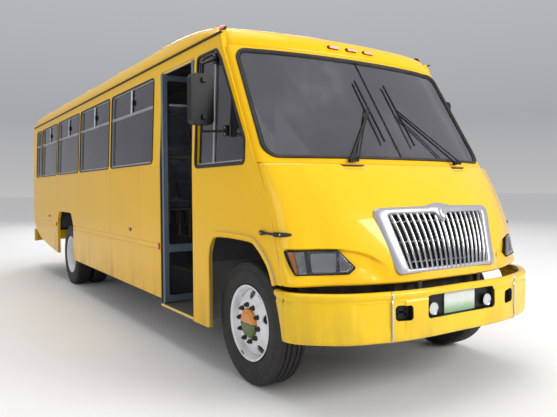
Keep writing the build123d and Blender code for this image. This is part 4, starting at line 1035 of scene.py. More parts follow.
# ---------------------------------------------------------------- rubber hold-down straps across the nose seam
g, gm = Geo(), Geo()
for s in (-1, 1):
    def out(y, k):
        """point beside the body at a station, k millimetres proud"""
        c, L = nose_f.row(1224)
        i = int(np.argmin(np.abs(c[:, 1] - y))) if y < -520 else None
        x = float(c[i, 0]) if i is not None else 1250.0
        return (s * (x + k), y, 1224.0 + (y + 340) * 0.012)
    line = [out(y, 11) for y in (-352, -392, -430)] + [out(y, 9) for y in (-450, -500, -548)] + [out(y, 12) for y in (-560, -600, -640)]
    sec = lambda h, w: [(-w, -h), (w, -h), (w + 2, 0), (w, h), (-w, h)]
    g.add(tube(curve([out(-345, 9), out(-365, 14), out(-400, 15), out(-425, 11)], 4), [4, 13, 15, 17, 18, 18, 18, 17, 15, 14, 13, 12, 9], 12, flat=0.55))
    g.add(tube(curve([out(-420, 10), out(-480, 11), out(-530, 10)], 5), 9, 10, flat=0.6))
    g.add(tube(curve([out(-520, 10), out(-560, 14), out(-600, 14), out(-648, 8)], 4), [9, 12, 15, 16, 17, 17, 17, 17, 17, 16, 15, 12, 7], 12, flat=0.55))
    gm.add(tube([out(-600, 20), out(-600, 27)], 7, 16))
    gm.add(tube([out(-382, 20), out(-382, 27)], 7, 16))
made("nose_straps", g, M["rubber"], "nose", sharp=50, replaces=("nose_latches",))
made("strap_pins", gm, M["steel"], "nose", bevel=1.5)

# ---------------------------------------------------------------- front bumper: one swept section, ends slanted like the arch
# section: height, offset from the face
BSEC = [(560, -52), (512, -50), (498, -40), (492, -26), (494, -14), (500, -6), (512, -1.5), (530, 0.5), (560, 1), (600, 1.5), (660, 2), (720, 1.5), (752, 0.5),
        (764, -1), (771, -6), (778, -8.5), (786, -7), (793, -1), (800, 2.5), (810, 4), (820, 2.5), (828, -2), (833, -9), (836, -19), (836, -40), (832, -52), (810, -54)]


def bump_end(z):
    return float(np.interp(z, [450, 700, 860], [-640, -560, -500]))


bt = spaced(-1, 1, 241)
rows = []
for z, off in BSEC:
    r = []
    line = []
    for t in bt:
        p = Vector(bump_f.by(t, 660.0))
        n = bump_f.normal(t, 660.0)
        n.z = 0
        n.normalize()
        line.append((p, n))
    ye = bump_end(z) + (0 if off > -30 else -4)
    L = [Vector((-1262, y, 0)) for y in spaced(ye, -650, 7)]
    R = [Vector((1262, y, 0)) for y in spaced(-650, ye, 7)]
    full = [(p, Vector((-1, 0, 0))) for p in L] + line + [(p, Vector((1, 0, 0))) for p in R]
    m = len(full)
    for i, (p, n) in enumerate(full):
        # the free ends are drawn in a little and rounded
        e = min(i, m - 1 - i)
        pull = 16.0 * (1 - step01(e, 0, 3))
        q = p + n * (off - pull)
        zz = z
        # sculpted hollow in each outer half: fades out towards the end
        a = abs(p.x)
        if 560 < a < 1000 and off > -8:
            if z < 771:
                nose_c = 650.0
                w = sqrt(max(0.0, 1 - ((a - 640) / 290) ** 2)) if a < 930 else 0.0
                lim_lo, lim_hi = nose_c - 92 * w, 771
                if a < 930:
                    q = q - n * (9.0 * step01(z, lim_lo - 4, lim_lo + 12) * step01(w, 0.02, 0.3))
        r.append((q.x, q.y, zz))
    rows.append(r)
v, f = skin(rows)
nv = len(rows[0])
# close the section into a shell with an inner skin
inner_rows = []
for (z, off), r in zip(reversed(BSEC[1:-1]), reversed(rows[1:-1])):
    pass
g = Geo().add((v, f))
bumper = made("bumper_skin", g, M["bumper"], "body", replaces=("front_bumper",), sharp=50)
so = bumper.modifiers.new("wall", "SOLIDIFY")
so.thickness, so.offset = 0.006, -1
dg = bpy.context.evaluated_depsgraph_get()
nm = bpy.data.meshes.new_from_object(bumper.evaluated_get(dg), depsgraph=dg)
bumper.modifiers.clear()
bumper.data = nm
cuts = [Geo().add(prism(round_poly([(-366, 628), (366, 628), (362, 790), (-362, 790)], [30, 30, 44, 44], 6), "y", -1300, -1040))]
for s in (-1, 1):
    cuts.append(Geo().add(prism(round_poly([(s * 494, 632), (s * 634, 640), (s * 634, 738), (s * 500, 738)], 26, 6), "y", -1300, -900)))
cut(bumper, cuts)

# pockets behind the openings, fog lamp bodies, joint strips
gb, gl, gs = Geo(), Geo(), Geo()


def tray(poly, face, depth, lip=4.0):
    return relief_loft(face, [(shrink(poly, -5), -8), (shrink(poly, -1), -6), (shrink(poly, 1), -8), (shrink(poly, 9), -depth), (shrink(poly, 40), -depth - 2),
                              (shrink(poly, 60), -depth - 2.5)])


big = round_poly([(-366, 628), (366, 628), (362, 790), (-362, 790)], [30, 30, 44, 44], 6)
gb.add(tray(big, bump_f, 40))
gb.add(block(-340, 340, -1078, -1068, 645, 775))
for s in (-1, 1):
    small = round_poly([(s * 494, 632), (s * 634, 640), (s * 634, 738), (s * 500, 738)], 26, 6)
    gb.add(relief_loft(bump_f, [(shrink(small, -4), -8), (shrink(small, 0), -5), (shrink(small, 2), -8), (shrink(small, 8), -46), (shrink(small, 26), -50), (shrink(small, 44), -50)]))
    # fog lamp: body, chrome ring, domed glass
    fx, fz = s * 292, 688
    fy = -1108.0
    prof_b = [(0, 20), (8, 34), (30, 44), (34, 46), (36, 44), (34, 41), (31, 38)]
    rws = [[(fx + r * cos(2 * pi * k / 40), fy + 36 - d, fz + r * sin(2 * pi * k / 40)) for k in range(40)] for d, r in prof_b]
    gl.add(skin(rws, close_v=True))
    dome = [[(fx + r * cos(2 * pi * k / 40), fy + 4 - 7 * (1 - (r / 39) ** 2), fz + r * sin(2 * pi * k / 40)) for k in range(40)] for r in (39, 36, 30, 22, 13, 5, 0.5)]
    gs.add(skin(dome, close_v=True))
made("bumper_pockets", gb, M["black"], "body", sharp=40)
made("fog_lamp_bodies", gl, M["chrome"], "body", sharp=60, replaces=("lamps",))
made("fog_lamp_glass", gs, M["fluted"], "body", sharp=60)
g = Geo()
for s in (-1, 1):
    line = []
    for z, off in BSEC[3:-3]:
        line.append(bump_f.at(s * 662.0, 660.0, off + 2.0)[:2] + (z,))
    g.add(sweep(line, [(-7, -3), (7, -3), (7, 2), (5, 3.2), (-5, 3.2), (-7, 2)], lambda i, s=s: (0, -1, 0)))
    for z in (541.0, 800.0):
        p = Vector(bump_f.at(s * 662.0, 660.0, 6)[:2] + (z,))
        g.add(tube([p, p + Vector((0, -6, 0))], 9, 18))
made("bumper_joint_strips", g, M["steel"], "body", bevel=1.0)

# ================================================================ wheels and tyres
AX = 487.0            # axle height
NB = 64               # tread blocks around a tyre


def tyre_geo(g, x0, yc, lugs):
    """tyre around the wheel axis: bead, rim rib, sidewall rings, notched shoulder and grooved tread"""
    side = [(89, 284), (95, 296), (101, 302), (104, 308), (108, 311), (109.5, 315), (111, 321), (116, 338), (119.5, 356),
            (121.4, 374), (121.2, 392), (120.2, 404), (121.6, 406), (121.2, 410), (119, 413), (117.6, 426), (115.6, 438), (114.4, 446)]
    shoulder = [(113.6, 449), (112.6, 458), (110.6, 467), (106.0, 474.5), (98.0, 480.0)]
    crown = lambda x: 487.0 - 3.6 * (x / 96.0) ** 2
    gr = (24.0, 66.0)
    tread = []
    for c in (gr[1], gr[0]):
        tread += [(c + 6.0, None), (c + 4.2, 473.0), (c - 4.2, 473.0), (c - 6.0, None)]
        if c == gr[1]:
            tread += [((gr[0] + gr[1]) / 2, None)]
    tread += [(0.0, None)]
    half = side + shoulder + [(x, crown(x) if r is None else r) for x, r in tread]
    prof = half + [(-x, r) for x, r in half[-2::-1]]
    kind = ["s"] * len(side) + ["h"] * len(shoulder) + ["g" if r is not None else "t" for x, r in tread]
    kind = kind + kind[-2::-1]
    n = NB * 4
    rows = []
    for i in range(n):
        a = 2 * pi * i / n
        k = i % 4
        zig = 2.6 if (i // 2) % 2 else -2.6
        row = []
        for j, (x, r) in enumerate(prof):
            xx, rr = x, r
            if kind[j] == "h":
                if k == 3:
                    rr -= 5.5 if lugs else 2.6
                    xx -= (2.6 if lugs else 0.8) * (1 if x > 0 else -1)
            elif kind[j] == "g" or (kind[j] == "t" and 10 < abs(x) and abs(abs(x) - 45) > 3):
                xx += zig
            elif kind[j] == "t" and abs(abs(x) - 45) <= 3 and k == 3 and lugs:
                rr -= 6.0
            row.append((x0 + xx, yc + rr * cos(a), AX + rr * sin(a)))
        rows.append(row)
    inner = [(-60, 279), (60, 279)]
    for i in range(n):
        a = 2 * pi * i / n
        rows[i] += [(x0 + x, yc + r * cos(a), AX + r * sin(a)) for x, r in inner]
    g.add(skin(rows, close_u=True, close_v=True))


def hexnut(g, m, x, y, z, s, r=16.0, h=20.0, stud=9.0, long=30.0):
    """wheel nut on its washer, with the stud end"""
    for rr, x0, x1, k in ((r * 1.18, 0.0, 3.5, 16), (r, 3.5, h, 6), (stud, h, long, 10)):
        ph = 0.35 if k == 6 else 0.0
        ring = lambda q, xx: [(x + s * xx, y + q * cos(2 * pi * i / k + ph), z + q * sin(2 * pi * i / k + ph)) for i in range(k)]
        rows = [ring(rr, x0), ring(rr, x1 - 1.8), ring(rr - 1.8, x1)]
        v, f = skin(rows, close_v=True)
        f.append(tuple(range(2 * k, 3 * k)))
        f.append(tuple(range(k))[::-1])
        g.add((v, f), m)


def rim(g, x0, yc, s, m=0):
    """drop centre rim with curled flanges, outer face towards s"""
    o = [(112.5, 292), (112.0, 297.5), (109.0, 299.0), (106.0, 297.0), (104.5, 292), (103.0, 288.5), (96, 285.6), (70, 283), (60, 276), (-60, 276), (-70, 283),
         (-96, 285.6), (-103.0, 288.5), (-104.5, 292), (-106.0, 297.0), (-109.0, 299.0), (-112.0, 297.5), (-112.5, 292),
         (-110.5, 284), (-104.0, 277.5), (-92, 273.5), (-68, 270.5), (-58, 264), (58, 264), (68, 270.5), (92, 273.5), (104.0, 277.5), (110.5, 284)]
    g.add(lathe([(x0 + s * x, r) for x, r in o], yc, AX, n=96), m)


def holes(xm, yc, s, count, off, r_at, rad, depth):
    out = []
    for i in range(count):
        a = 2 * pi * i / count + off
        y, z = yc + r_at * cos(a), AX + r_at * sin(a)
        k = 28
        ring = lambda xx: [(xx, y + rad * cos(2 * pi * j / k) * (0.93 if True else 1), z + rad * sin(2 * pi * j / k)) for j in range(k)]
        v, f = skin([ring(xm - depth), ring(xm + depth)], close_v=True)
        f += [tuple(range(k))[::-1], tuple(range(k, 2 * k))]
        c = Geo()
        c.add((v, f))
        out.append(c)
    return out


for side, s in (("right", -1), ("left", 1)):
    # ---- front
    yc = 0.0
    g = Geo()
    tyre_geo(g, s * 1047.0, yc, False)
    body = f"front_{side}_wheel"
    made(f"front_{side}_tyre_tread", g, M["tyre"], body, sharp=32, replaces=(f"front_{side}_tyre",))

    D = 1047.0
    g = Geo()
    disc = [(1088, 263), (1096, 262.5), (1103, 258), (1112, 249), (1126, 226), (1137, 206), (1144, 194), (1148, 184), (1149.5, 172), (1149.5, 60),
            (1139.5, 60), (1139.5, 170), (1138, 180), (1134, 189), (1127, 201), (1116, 221), (1102, 243), (1094, 252), (1088, 256)]
    g.add(lathe([(s * x, r) for x, r in disc], yc, AX, n=120))
    disc_ob = made(f"front_{side}_disc", g, M["wheel"], body, sharp=50)
    cut(disc_ob, holes(s * 1118, yc, s, 5, radians(20), 226.0, 37.0, 60), "EXACT")
    bv = disc_ob.modifiers.new("edges", "BEVEL")
    bv.width, bv.segments, bv.limit_method, bv.angle_limit = 0.0022, 2, "ANGLE", radians(40)
    g = Geo()
    rim(g, s * 1047.0, yc, s)
    # valve stem, balance weights
    a = radians(55)
    g.add(tube([(s * 1096, yc + 250 * cos(a), AX + 250 * sin(a)), (s * 1120, yc + 247 * cos(a), AX + 247 * sin(a)),
                (s * 1140, yc + 236 * cos(a), AX + 236 * sin(a))], [6, 4.5, 4.5], n=10), 1)
    for a0 in (2.2, 5.1):
        arc = [(s * 1152.5, yc + 281 * cos(a0 + t), AX + 281 * sin(a0 + t)) for t in (-0.09, -0.045, 0, 0.045, 0.09)]
        g.add(tube(arc, 5.5, n=8, flat=0.8), 2)
    made(f"front_{side}_rim", g, [M["wheel"], M["steel"], M["chassis"]], body, sharp=40,
         replaces=(f"front_{side}_wheel",))

    g = Geo()
    for i in range(10):
        a = 2 * pi * i / 10 + radians(9)
        hexnut(g, 0, s * 1149.5, yc + 143 * cos(a), AX + 143 * sin(a), s, r=18.0, h=24, long=36, stud=10)
    made(f"front_{side}_nuts", g, M["rust"], body, sharp=25)
    g = Geo()
    cap = [(1141, 118), (1152, 118), (1155, 114), (1160, 111), (1168, 108), (1171, 103), (1172, 96), (1172, 84), (1174.5, 82), (1177, 78), (1178, 70), (1178.5, 40),
           (1178.5, 3), (1141, 3)]
    g.add(lathe([(s * x, r) for x, r in cap], yc, AX, n=72))
    # raised ribs of the cap and its small screws
    for i in range(10):
        a = 2 * pi * i / 10 + radians(27)
        y, z = yc + 92 * cos(a), AX + 92 * sin(a)
        hexnut(g, 0, s * 1171, y, z, s, r=7.0, h=6, long=6.5, stud=3)
    for i in range(20):
        a = 2 * pi * (i + 0.5) / 20
        pr = [(s * 1153, yc + 113 * cos(a), AX + 113 * sin(a)), (s * 1163, yc + 110.5 * cos(a), AX + 110.5 * sin(a)),
              (s * 1170, yc + 105 * cos(a), AX + 105 * sin(a))]
        g.add(tube(pr, [3.5, 3.5, 2.5], n=6), 0)
    made(f"front_{side}_hub_cap", g, M["hub"], body, sharp=35)
    g = Geo()
    g.add(lathe([(s * x, r) for x, r in ((1042, 31.5), (1042, 178), (1050, 186), (1105, 186), (1118, 178), (1124, 150), (1139, 120), (1139, 31.5))], yc, AX, n=64))
    for i in range(24):
        a = 2 * pi * i / 24
        g.add(tube([(s * 1050, yc + 187 * cos(a), AX + 187 * sin(a)), (s * 1104, yc + 187 * cos(a), AX + 187 * sin(a))], 3, n=6))
    made(f"front_{side}_drum", g, M["chassis"], body, sharp=35)

    # ---- rear twins
    yc = 5880.0
    body = f"rear_{side}_wheels"
    g = Geo()
    tyre_geo(g, s * 1047.0, yc, True)
    tyre_geo(g, s * 767.0, yc, True)
    made(f"rear_{side}_tyre_treads", g, M["tyre"], body, sharp=32, replaces=(f"rear_{side}_tyres",))
    g = Geo()
    # outer and inner dished discs, face to face between the twins
    dish = [(968, 266), (976, 264), (974, 258), (962, 250), (942, 232), (925, 210), (919, 196), (918, 182), (918, 100), (907.5, 100), (907.5, 186),
            (910, 200), (917, 216), (934, 239), (954, 258)]
    g.add(lathe([(s * x, r) for x, r in dish], yc, AX, n=96))
    g.add(lathe([(s * (1814 - x), r) for x, r in dish], yc, AX, n=96))
    disc_ob = made(f"rear_{side}_discs", g, M["wheel"], body, sharp=50)
    cut(disc_ob, holes(s * 930, yc, s, 5, radians(40), 230.0, 34.0, 90), "EXACT")
    bv = disc_ob.modifiers.new("edges", "BEVEL")
    bv.width, bv.segments, bv.limit_method, bv.angle_limit = 0.0022, 2, "ANGLE", radians(40)
    g = Geo()
    rim(g, s * 1047.0, yc, s)
    rim(g, s * 767.0, yc, s)
    g.add(tube(curve([(s * 962, yc + 250 * cos(1.1), AX + 250 * sin(1.1)), (s * 1010, yc + 252 * cos(1.1), AX + 252 * sin(1.1)),
                      (s * 1100, yc + 254 * cos(1.1), AX + 254 * sin(1.1))], 3), 4.5, n=10), 1)
    made(f"rear_{side}_rims", g, [M["wheel"], M["steel"]], body, sharp=40, replaces=(f"rear_{side}_wheels",))
    g = Geo()
    for i in range(10):
        a = 2 * pi * i / 10 + radians(9)
        hexnut(g, 0, s * 918, yc + 143 * cos(a), AX + 143 * sin(a), s, r=18.0, h=24, long=40, stud=10)
    made(f"rear_{side}_nuts", g, M["rust"], body, sharp=25)
    g = Geo()
    hub = [(905, 118), (921, 118), (924, 112), (936, 104), (960, 97), (1050, 92), (1066, 92), (1070, 96), (1086, 96), (1090, 90), (1092, 74), (1094, 68), (1097, 60),
           (1097, 3), (905, 3)]
    g.add(lathe([(s * x, r) for x, r in hub], yc, AX, n=64))
    for i in range(8):
        a = 2 * pi * i / 8
        hexnut(g, 1, s * 1090, yc + 82 * cos(a), AX + 82 * sin(a), s, r=7.5, h=7, long=11, stud=4)
    made(f"rear_{side}_hub", g, [M["wheel"], M["rust"]], body, sharp=35)
    g = Geo()
    drum = [(737, 187), (737, 209), (745, 212), (752, 209), (800, 208), (806, 211), (880, 209), (890, 196), (894, 125), (905, 122), (905, 66), (877, 66), (867, 187)]
    g.add(lathe([(s * x, r) for x, r in drum], yc, AX, n=64))
    for i in range(30):
        a = 2 * pi * i / 30
        g.add(tube([(s * 756, yc + 210 * cos(a), AX + 210 * sin(a)), (s * 798, yc + 210 * cos(a), AX + 210 * sin(a))], 3, n=6))
    made(f"rear_{side}_drum", g, M["chassis"], body, sharp=35)

# ================================================================ roof, dome over the screen, screen surround
def arc3(p, q, r, n=20):
    (ax, ay), (bx, by), (cx, cy) = p, q, r
    d = 2 * (ax * (by - cy) + bx * (cy - ay) + cx * (ay - by))
    ux = ((ax * ax + ay * ay) * (by - cy) + (bx * bx + by * by) * (cy - ay) + (cx * cx + cy * cy) * (ay - by)) / d
    uy = ((ax * ax + ay * ay) * (cx - bx) + (bx * bx + by * by) * (ax - cx) + (cx * cx + cy * cy) * (bx - ax)) / d
    R = sqrt((ax - ux) ** 2 + (ay - uy) ** 2)
    a0, a1, am = atan2(ay - uy, ax - ux), atan2(cy - uy, cx - ux), atan2(by - uy, bx - ux)
    un = lambda a, b: (a - b + pi) % (2 * pi) - pi
    tot = un(am, a0) + un(a1, am)
    return [(ux + R * cos(a0 + tot * k / n), uy + R * sin(a0 + tot * k / n)) for k in range(n + 1)]


ROOF_LINE = np.array([(98, 2500)] + arc3((98, 2700), (158, 2815), (300, 2890)) + arc3((300, 2890), (1080, 3048), (1900, 3108))[1:]
                     + [(8050, 3108)] + arc3((8050, 3108), (8560, 2985), (8770, 2640))[1:])


def line_dist(v, z):
    """distance to the roof's side profile, positive outside"""
    best, sign = np.full(v.shape, 1e9), np.ones(v.shape)
    for a, b in zip(ROOF_LINE[:-1], ROOF_LINE[1:]):
        d = b - a
        t = np.clip(((v - a[0]) * d[0] + (z - a[1]) * d[1]) / (d @ d), 0, 1)
        dx, dz = v - a[0] - t * d[0], z - a[1] - t * d[1]
        dist = np.hypot(dx, dz)
        m = dist < best
        best = np.where(m, dist, best)
        sign = np.where(m, np.where(d[0] * dz - d[1] * dx > 0, 1, -1), sign)
    return best * sign


def section_dist(x, z):
    """distance to the body's cross section, positive outside"""
    x = np.abs(x)
    sx = 1250 - 42 * (np.maximum(z, 1790) - 1790) / 1030.0
    a0 = radians(2.3)
    cx, cz = 1208 - 265 * cos(a0), 2820 - 265 * sin(a0)
    top = z - (3106 - (x / cx) ** 2 * (3106 - cz - 265))
    return np.where((x > cx) & (z > cz), np.hypot(x - cx, z - cz) - 265, np.maximum(x - sx, top))


def body_dist(x, v, z):
    xs = np.array([0, 330, 660, 810, 960, 1076, 1150, 1192, 1230])
    ys = np.array([98, 108, 138, 163, 194, 232, 262, 290, 340]) - 98.0
    k = np.clip((2400.0 - v) / 1000.0, 0, 1)
    a = line_dist(v - k * np.interp(np.abs(x), xs, ys), z)
    b = section_dist(x, z)
    R = np.where(v < 4000, 80.0, 30.0)
    return np.where((a > -R) & (b > -R), np.hypot(a + R, b + R) - R, np.maximum(a, b))


def reach(o, d, far=1400.0):
    """where rays from inside meet the body skin"""
    lo, hi = np.zeros(len(o)), np.full(len(o), far)
    for _ in range(22):
        m = (lo + hi) / 2
        p = o + d * m[:, None]
        f = body_dist(p[:, 0], p[:, 1], p[:, 2])
        lo, hi = np.where(f < 0, m, lo), np.where(f < 0, hi, m)
    p = o + d * lo[:, None]
    # tucked behind the side panels below the drip line
    low = (p[:, 2] < 2819) & (p[:, 1] > 292)
    p[:, 0] -= np.where(low, 9.0 * np.sign(p[:, 0]), 0.0)
    return p


NX, NF, NA = 46, 26, 26
# dome: fan at both corners, straight between them
o, d = [], []
for i in range(2 * NA + NX):
    if i < NA:
        cx, ang = -900.0, -(pi / 2) * (1 - i / NA)
    elif i < NA + NX:
        cx, ang = -900.0 + 1800.0 * (i - NA) / (NX - 1), 0.0
    else:
        cx, ang = 900.0, (pi / 2) * (i - NA - NX + 1) / NA
    for j in range(NF):
        f = (pi / 2) * j / (NF - 1)
        o.append((cx, 622.0, 2694.0))
        d.append((sin(ang) * cos(f), -cos(ang) * cos(f), sin(f)))
p = reach(np.array(o), np.array(d))
rows = [[tuple(map(float, q)) for q in p[i * NF:(i + 1) * NF]] for i in range(2 * NA + NX)]
g = Geo()
g.add(skin(rows))
dome = made("front_dome", g, M["paint"], "body", sharp=50, weld=0.5)
sm = dome.modifiers.new("wall", "SOLIDIFY")
sm.thickness, sm.offset = 0.022, -1.0
# roof behind it
st = [622.0 + 60 * i for i in range(24)] + [2060.0 + 240 * i for i in range(26)] + [8290.0 + 33 * i for i in range(11)]
st = sorted(set(v for v in st if v <= 8622))
rows = []
for v in st:
    o, d = [], []
    for j in range(NF):
        f = (pi / 2) * j / (NF - 1)
        o.append((-900.0, v, 2694.0))
        d.append((-cos(f), 0, sin(f)))
    for i in range(1, NX - 1):
        o.append((-900.0 + 1800.0 * i / (NX - 1), v, 2694.0))
        d.append((0, 0, 1))
    for j in range(NF):
        f = (pi / 2) * (1 - j / (NF - 1))
        o.append((900.0, v, 2694.0))
        d.append((cos(f), 0, sin(f)))
    p = reach(np.array(o), np.array(d))
    rows.append([tuple(map(float, q)) for q in p])
g = Geo()
g.add(skin(rows))
roof_ob = made("roof_skin", g, M["paint"], "body", sharp=50, weld=0.5, replaces=("roof",))
sm = roof_ob.modifiers.new("wall", "SOLIDIFY")
sm.thickness, sm.offset = 0.022, -1.0
for ob_ in (dome, roof_ob):
    # outward facing skins
    me = ob_.data
    up = sum(1 if q.normal.z > 0 else -1 for q in me.polygons)
    if up < 0:
        me.flip_normals()


def dome_y(x, z):
    q = reach(np.array([(x, 622.0, z)]), np.array([(0.0, -1.0, 0.0)]))
    return float(q[0][1])


def roof_z(x, v):
    q = reach(np.array([(x, v, 2694.0)]), np.array([(0.0, 0.0, 1.0)]))
    return float(q[0][2])


# roof joints: flat cover strips across the skin, drip mouldings along both sides
g = Geo()
for v in (622.0, 1815.0, 3331.0, 4891.0, 6401.0, 7796.0, 8615.0):
    xs_ = [-1120, -1050, -960, -800, -500, 0, 500, 800, 960, 1050, 1120]
    g.add(tube([(x, v, roof_z(x, v) + 0.5) for x in xs_], 9.0, n=8, flat=0.35 if False else 1.0))
made("roof_joints", g, M["paint"], "body", sharp=40)
g = Geo()
for s in (-1, 1):
    g.add(prism([(s * 1206, 2806), (s * 1222, 2810), (s * 1224, 2822), (s * 1219, 2824), (s * 1216, 2815), (s * 1206, 2818)], "y", 300, 8625))
made("drip_mouldings", g, M["rubber"], "body", sharp=30)

# surround of the screen
OPEN = round_poly([(-1190, 1772), (1190, 1772), (1142, 2668), (-1142, 2668)], 95, 9)


def outline_pts(poly, n):
    """even points along an outline"""
    P = [Vector(q) for q in poly]
    L = [0.0]
    for i in range(len(P)):
        L.append(L[-1] + (P[(i + 1) % len(P)] - P[i]).length)
    out = []
    for k in range(n):
        t = L[-1] * k / n
        i = max(j for j in range(len(P)) if L[j] <= t)
        a, b = P[i], P[(i + 1) % len(P)]
        out.append(tuple(a + (b - a) * ((t - L[i]) / max(1e-6, L[i + 1] - L[i]))))
    return out


OPN = outline_pts(OPEN, 260)


def edge_to(q):
    """matching point on the outer edge of the surround"""
    x, z = q
    best = None
    for k in range(1, 400):
        t = 1 + k * 0.002
        xx, zz = x * t, 2220 + (z - 2220) * t
        hw = 1240 - 48 * (zz - 1722) / 978.0
        if abs(xx) >= hw or zz >= 2702 or zz <= 1724:
            return (max(-hw, min(hw, xx)), max(1724.0, min(2702.0, zz)))
    return (x, z)


OUTR = [edge_to(q) for q in OPN]
rows = []
for u, off in ((1.0, -26), (1.0, -4), (1.0, 0), (0.985, 0), (0.93, 0), (0.82, 0), (0.6, 0), (0.35, 0), (0.12, 0), (0.03, -1.5), (0.0, -5), (0.0, -26)):
    rows.append([screen_f.at(a[0] + (b[0] - a[0]) * u, a[1] + (b[1] - a[1]) * u, off) for a, b in zip(OPN, OUTR)])
g = Geo()
g.add(skin(rows, close_u=True, close_v=True))
# scuttle ledge below the screen
sc = []
for z, off in ((1722.0, -34), (1722.0, -2), (1700.0, -6), (1690.0, -34)):
    sc.append([tuple(Vector(screen_f.by(t, 1724.0)) + Vector((0, -off * -1.0, z - 1724.0))) for t in spaced(-0.97, 0.97, 60)])
g.add(skin(sc, close_u=True))
made("screen_surround", g, M["paint"], "body", sharp=38, replaces=("front_cap",))

# rubber seal, black border on the glass, joint strip of the two panes
g = Geo()
g.add(tube([screen_f.at(x, z, -2) for x, z in OPN], 15.0, n=10, close=True), 0)
g.add(tube([screen_f.at(x * 0.984, 2220 + (z - 2220) * 0.974, -5) for x, z in OPN], 5.0, n=6, close=True), 0)
g.add(tube([screen_f.at(0, z, -10) for z in spaced(1776, 2664, 26)], 11.0, n=8, flat=0.55), 0)
made("screen_seal", g, M["rubber"], "body", sharp=50)
zs = [1774 + 892 * (0.5 - 0.5 * cos(pi * i / 40)) for i in range(41)]


def half_w(z, r=93.0):
    w = 1188 - 48 * (z - 1772) / 896.0
    dd = min(z - 1773, 2667 - z)
    return w - r + sqrt(max(0.0, r * r - (r - dd) ** 2)) if dd < r else w


outer, inner = [], []
for z in zs:
    w = half_w(z)
    outer.append([screen_f.at(w * sin(pi / 2 * k / 30), z, -10) for k in range(-30, 31)])
    inner.append([screen_f.at(w * sin(pi / 2 * k / 30), z, -17) for k in range(-30, 31)])
g = Geo()
loop = lambda G: G
v1, f1 = skin(outer)
v2, f2 = skin(inner)
n1 = len(v1)
fs = f1 + [tuple(i + n1 for i in q[::-1]) for q in f2]
nu, nv = len(zs), 61
for j in range(nv - 1):
    fs.append((j, n1 + j, n1 + j + 1, j + 1))
    a = (nu - 1) * nv + j
    fs.append((a, a + 1, n1 + a + 1, n1 + a))
for i in range(nu - 1):
    a, b = i * nv, i * nv + nv - 1
    fs.append((a, a + nv, n1 + a + nv, n1 + a))
    fs.append((b, n1 + b, n1 + b + nv, b + nv))
g.add((v1 + v2, fs))
made("windscreen_pane", g, M["screen"], "body", sharp=40, weld=0, replaces=("windscreen",))

# ---------------------------------------------------------------- lamps of the body
g = Geo()
for x in (-200, 0, 200):
    y = dome_y(x, 2778)
    g.add(prism(round_poly([(x - 62, 2762), (x + 62, 2762), (x + 62, 2794), (x - 62, 2794)], 14, 5), "y", y + 12, y - 10), 0)
    g.add(prism(round_poly([(x - 54, 2766), (x + 54, 2766), (x + 54, 2790), (x - 54, 2790)], 11, 5), "y", y - 4, y - 26), 1)
for s in (-1, 1):
    for z, v in ((2905, 420.0),):
        q = reach(np.array([(s * 900.0, v, 2694.0)]), np.array([(s * 0.80, 0.0, 0.60)]))[0]
        c = Vector((float(q[0]), v, float(q[2])))
        for k, (r, m, h) in enumerate(((34, 0, 5), (27, 1, 20))):
            nrm = Vector((s * 0.8, 0, 0.6))
            ring = lambda rr, hh: [tuple(c + nrm * hh + Vector((0, rr * 1.25 * cos(2 * pi * i / 24), 0)) + Vector((-s * 0.6, 0, 0.8)) * (rr * sin(2 * pi * i / 24))) for i in range(24)]
            rws = [ring(r, -14), ring(r, h - 4), ring(r - 6, h), ring(r * 0.4, h + 2)]
            vv, ff = skin(rws, close_v=True)
            ff.append(tuple(range(72, 96)))
            ff.append(tuple(range(24))[::-1])
            g.add((vv, ff), m)
    for v in (2560.0, 7100.0):
        g.add(prism(round_poly([(v - 42, 1070), (v + 42, 1070), (v + 42, 1104), (v - 42, 1104)], 12, 5), "x", s * 1248, s * 1258), 0)
        g.add(prism(round_poly([(v - 35, 1075), (v + 35, 1075), (v + 35, 1099), (v - 35, 1099)], 10, 5), "x", s * 1256, s * 1267), 1)
made("marker_lamps", g, [M["black"], M["orange"]], "body", bevel=2.0)
g = Geo()
for s in (-1, 1):
    for z0, z1, m in ((1150, 1290, 1), (960, 1100, 2)):
        g.add(prism(round_poly([(s * 970 - 116, z0 - 8), (s * 970 + 116, z0 - 8), (s * 970 + 116, z1 + 8), (s * 970 - 116, z1 + 8)], 30, 6), "y", 8766, 8782), 0)
        g.add(prism(round_poly([(s * 970 - 106, z0 + 2), (s * 970 + 106, z0 + 2), (s * 970 + 106, z1 - 2), (s * 970 - 106, z1 - 2)], 24, 6), "y", 8776, 8796), m)
    g.add(prism(round_poly([(s * 1090 - 30, 2660), (s * 1090 + 30, 2660), (s * 1090 + 30, 2690), (s * 1090 - 30, 2690)], 10, 5), "y", 8690, 8768), 1)
made("tail_lamps", g, [M["black"], M["red"], M["amber"]], "body", bevel=3.0)

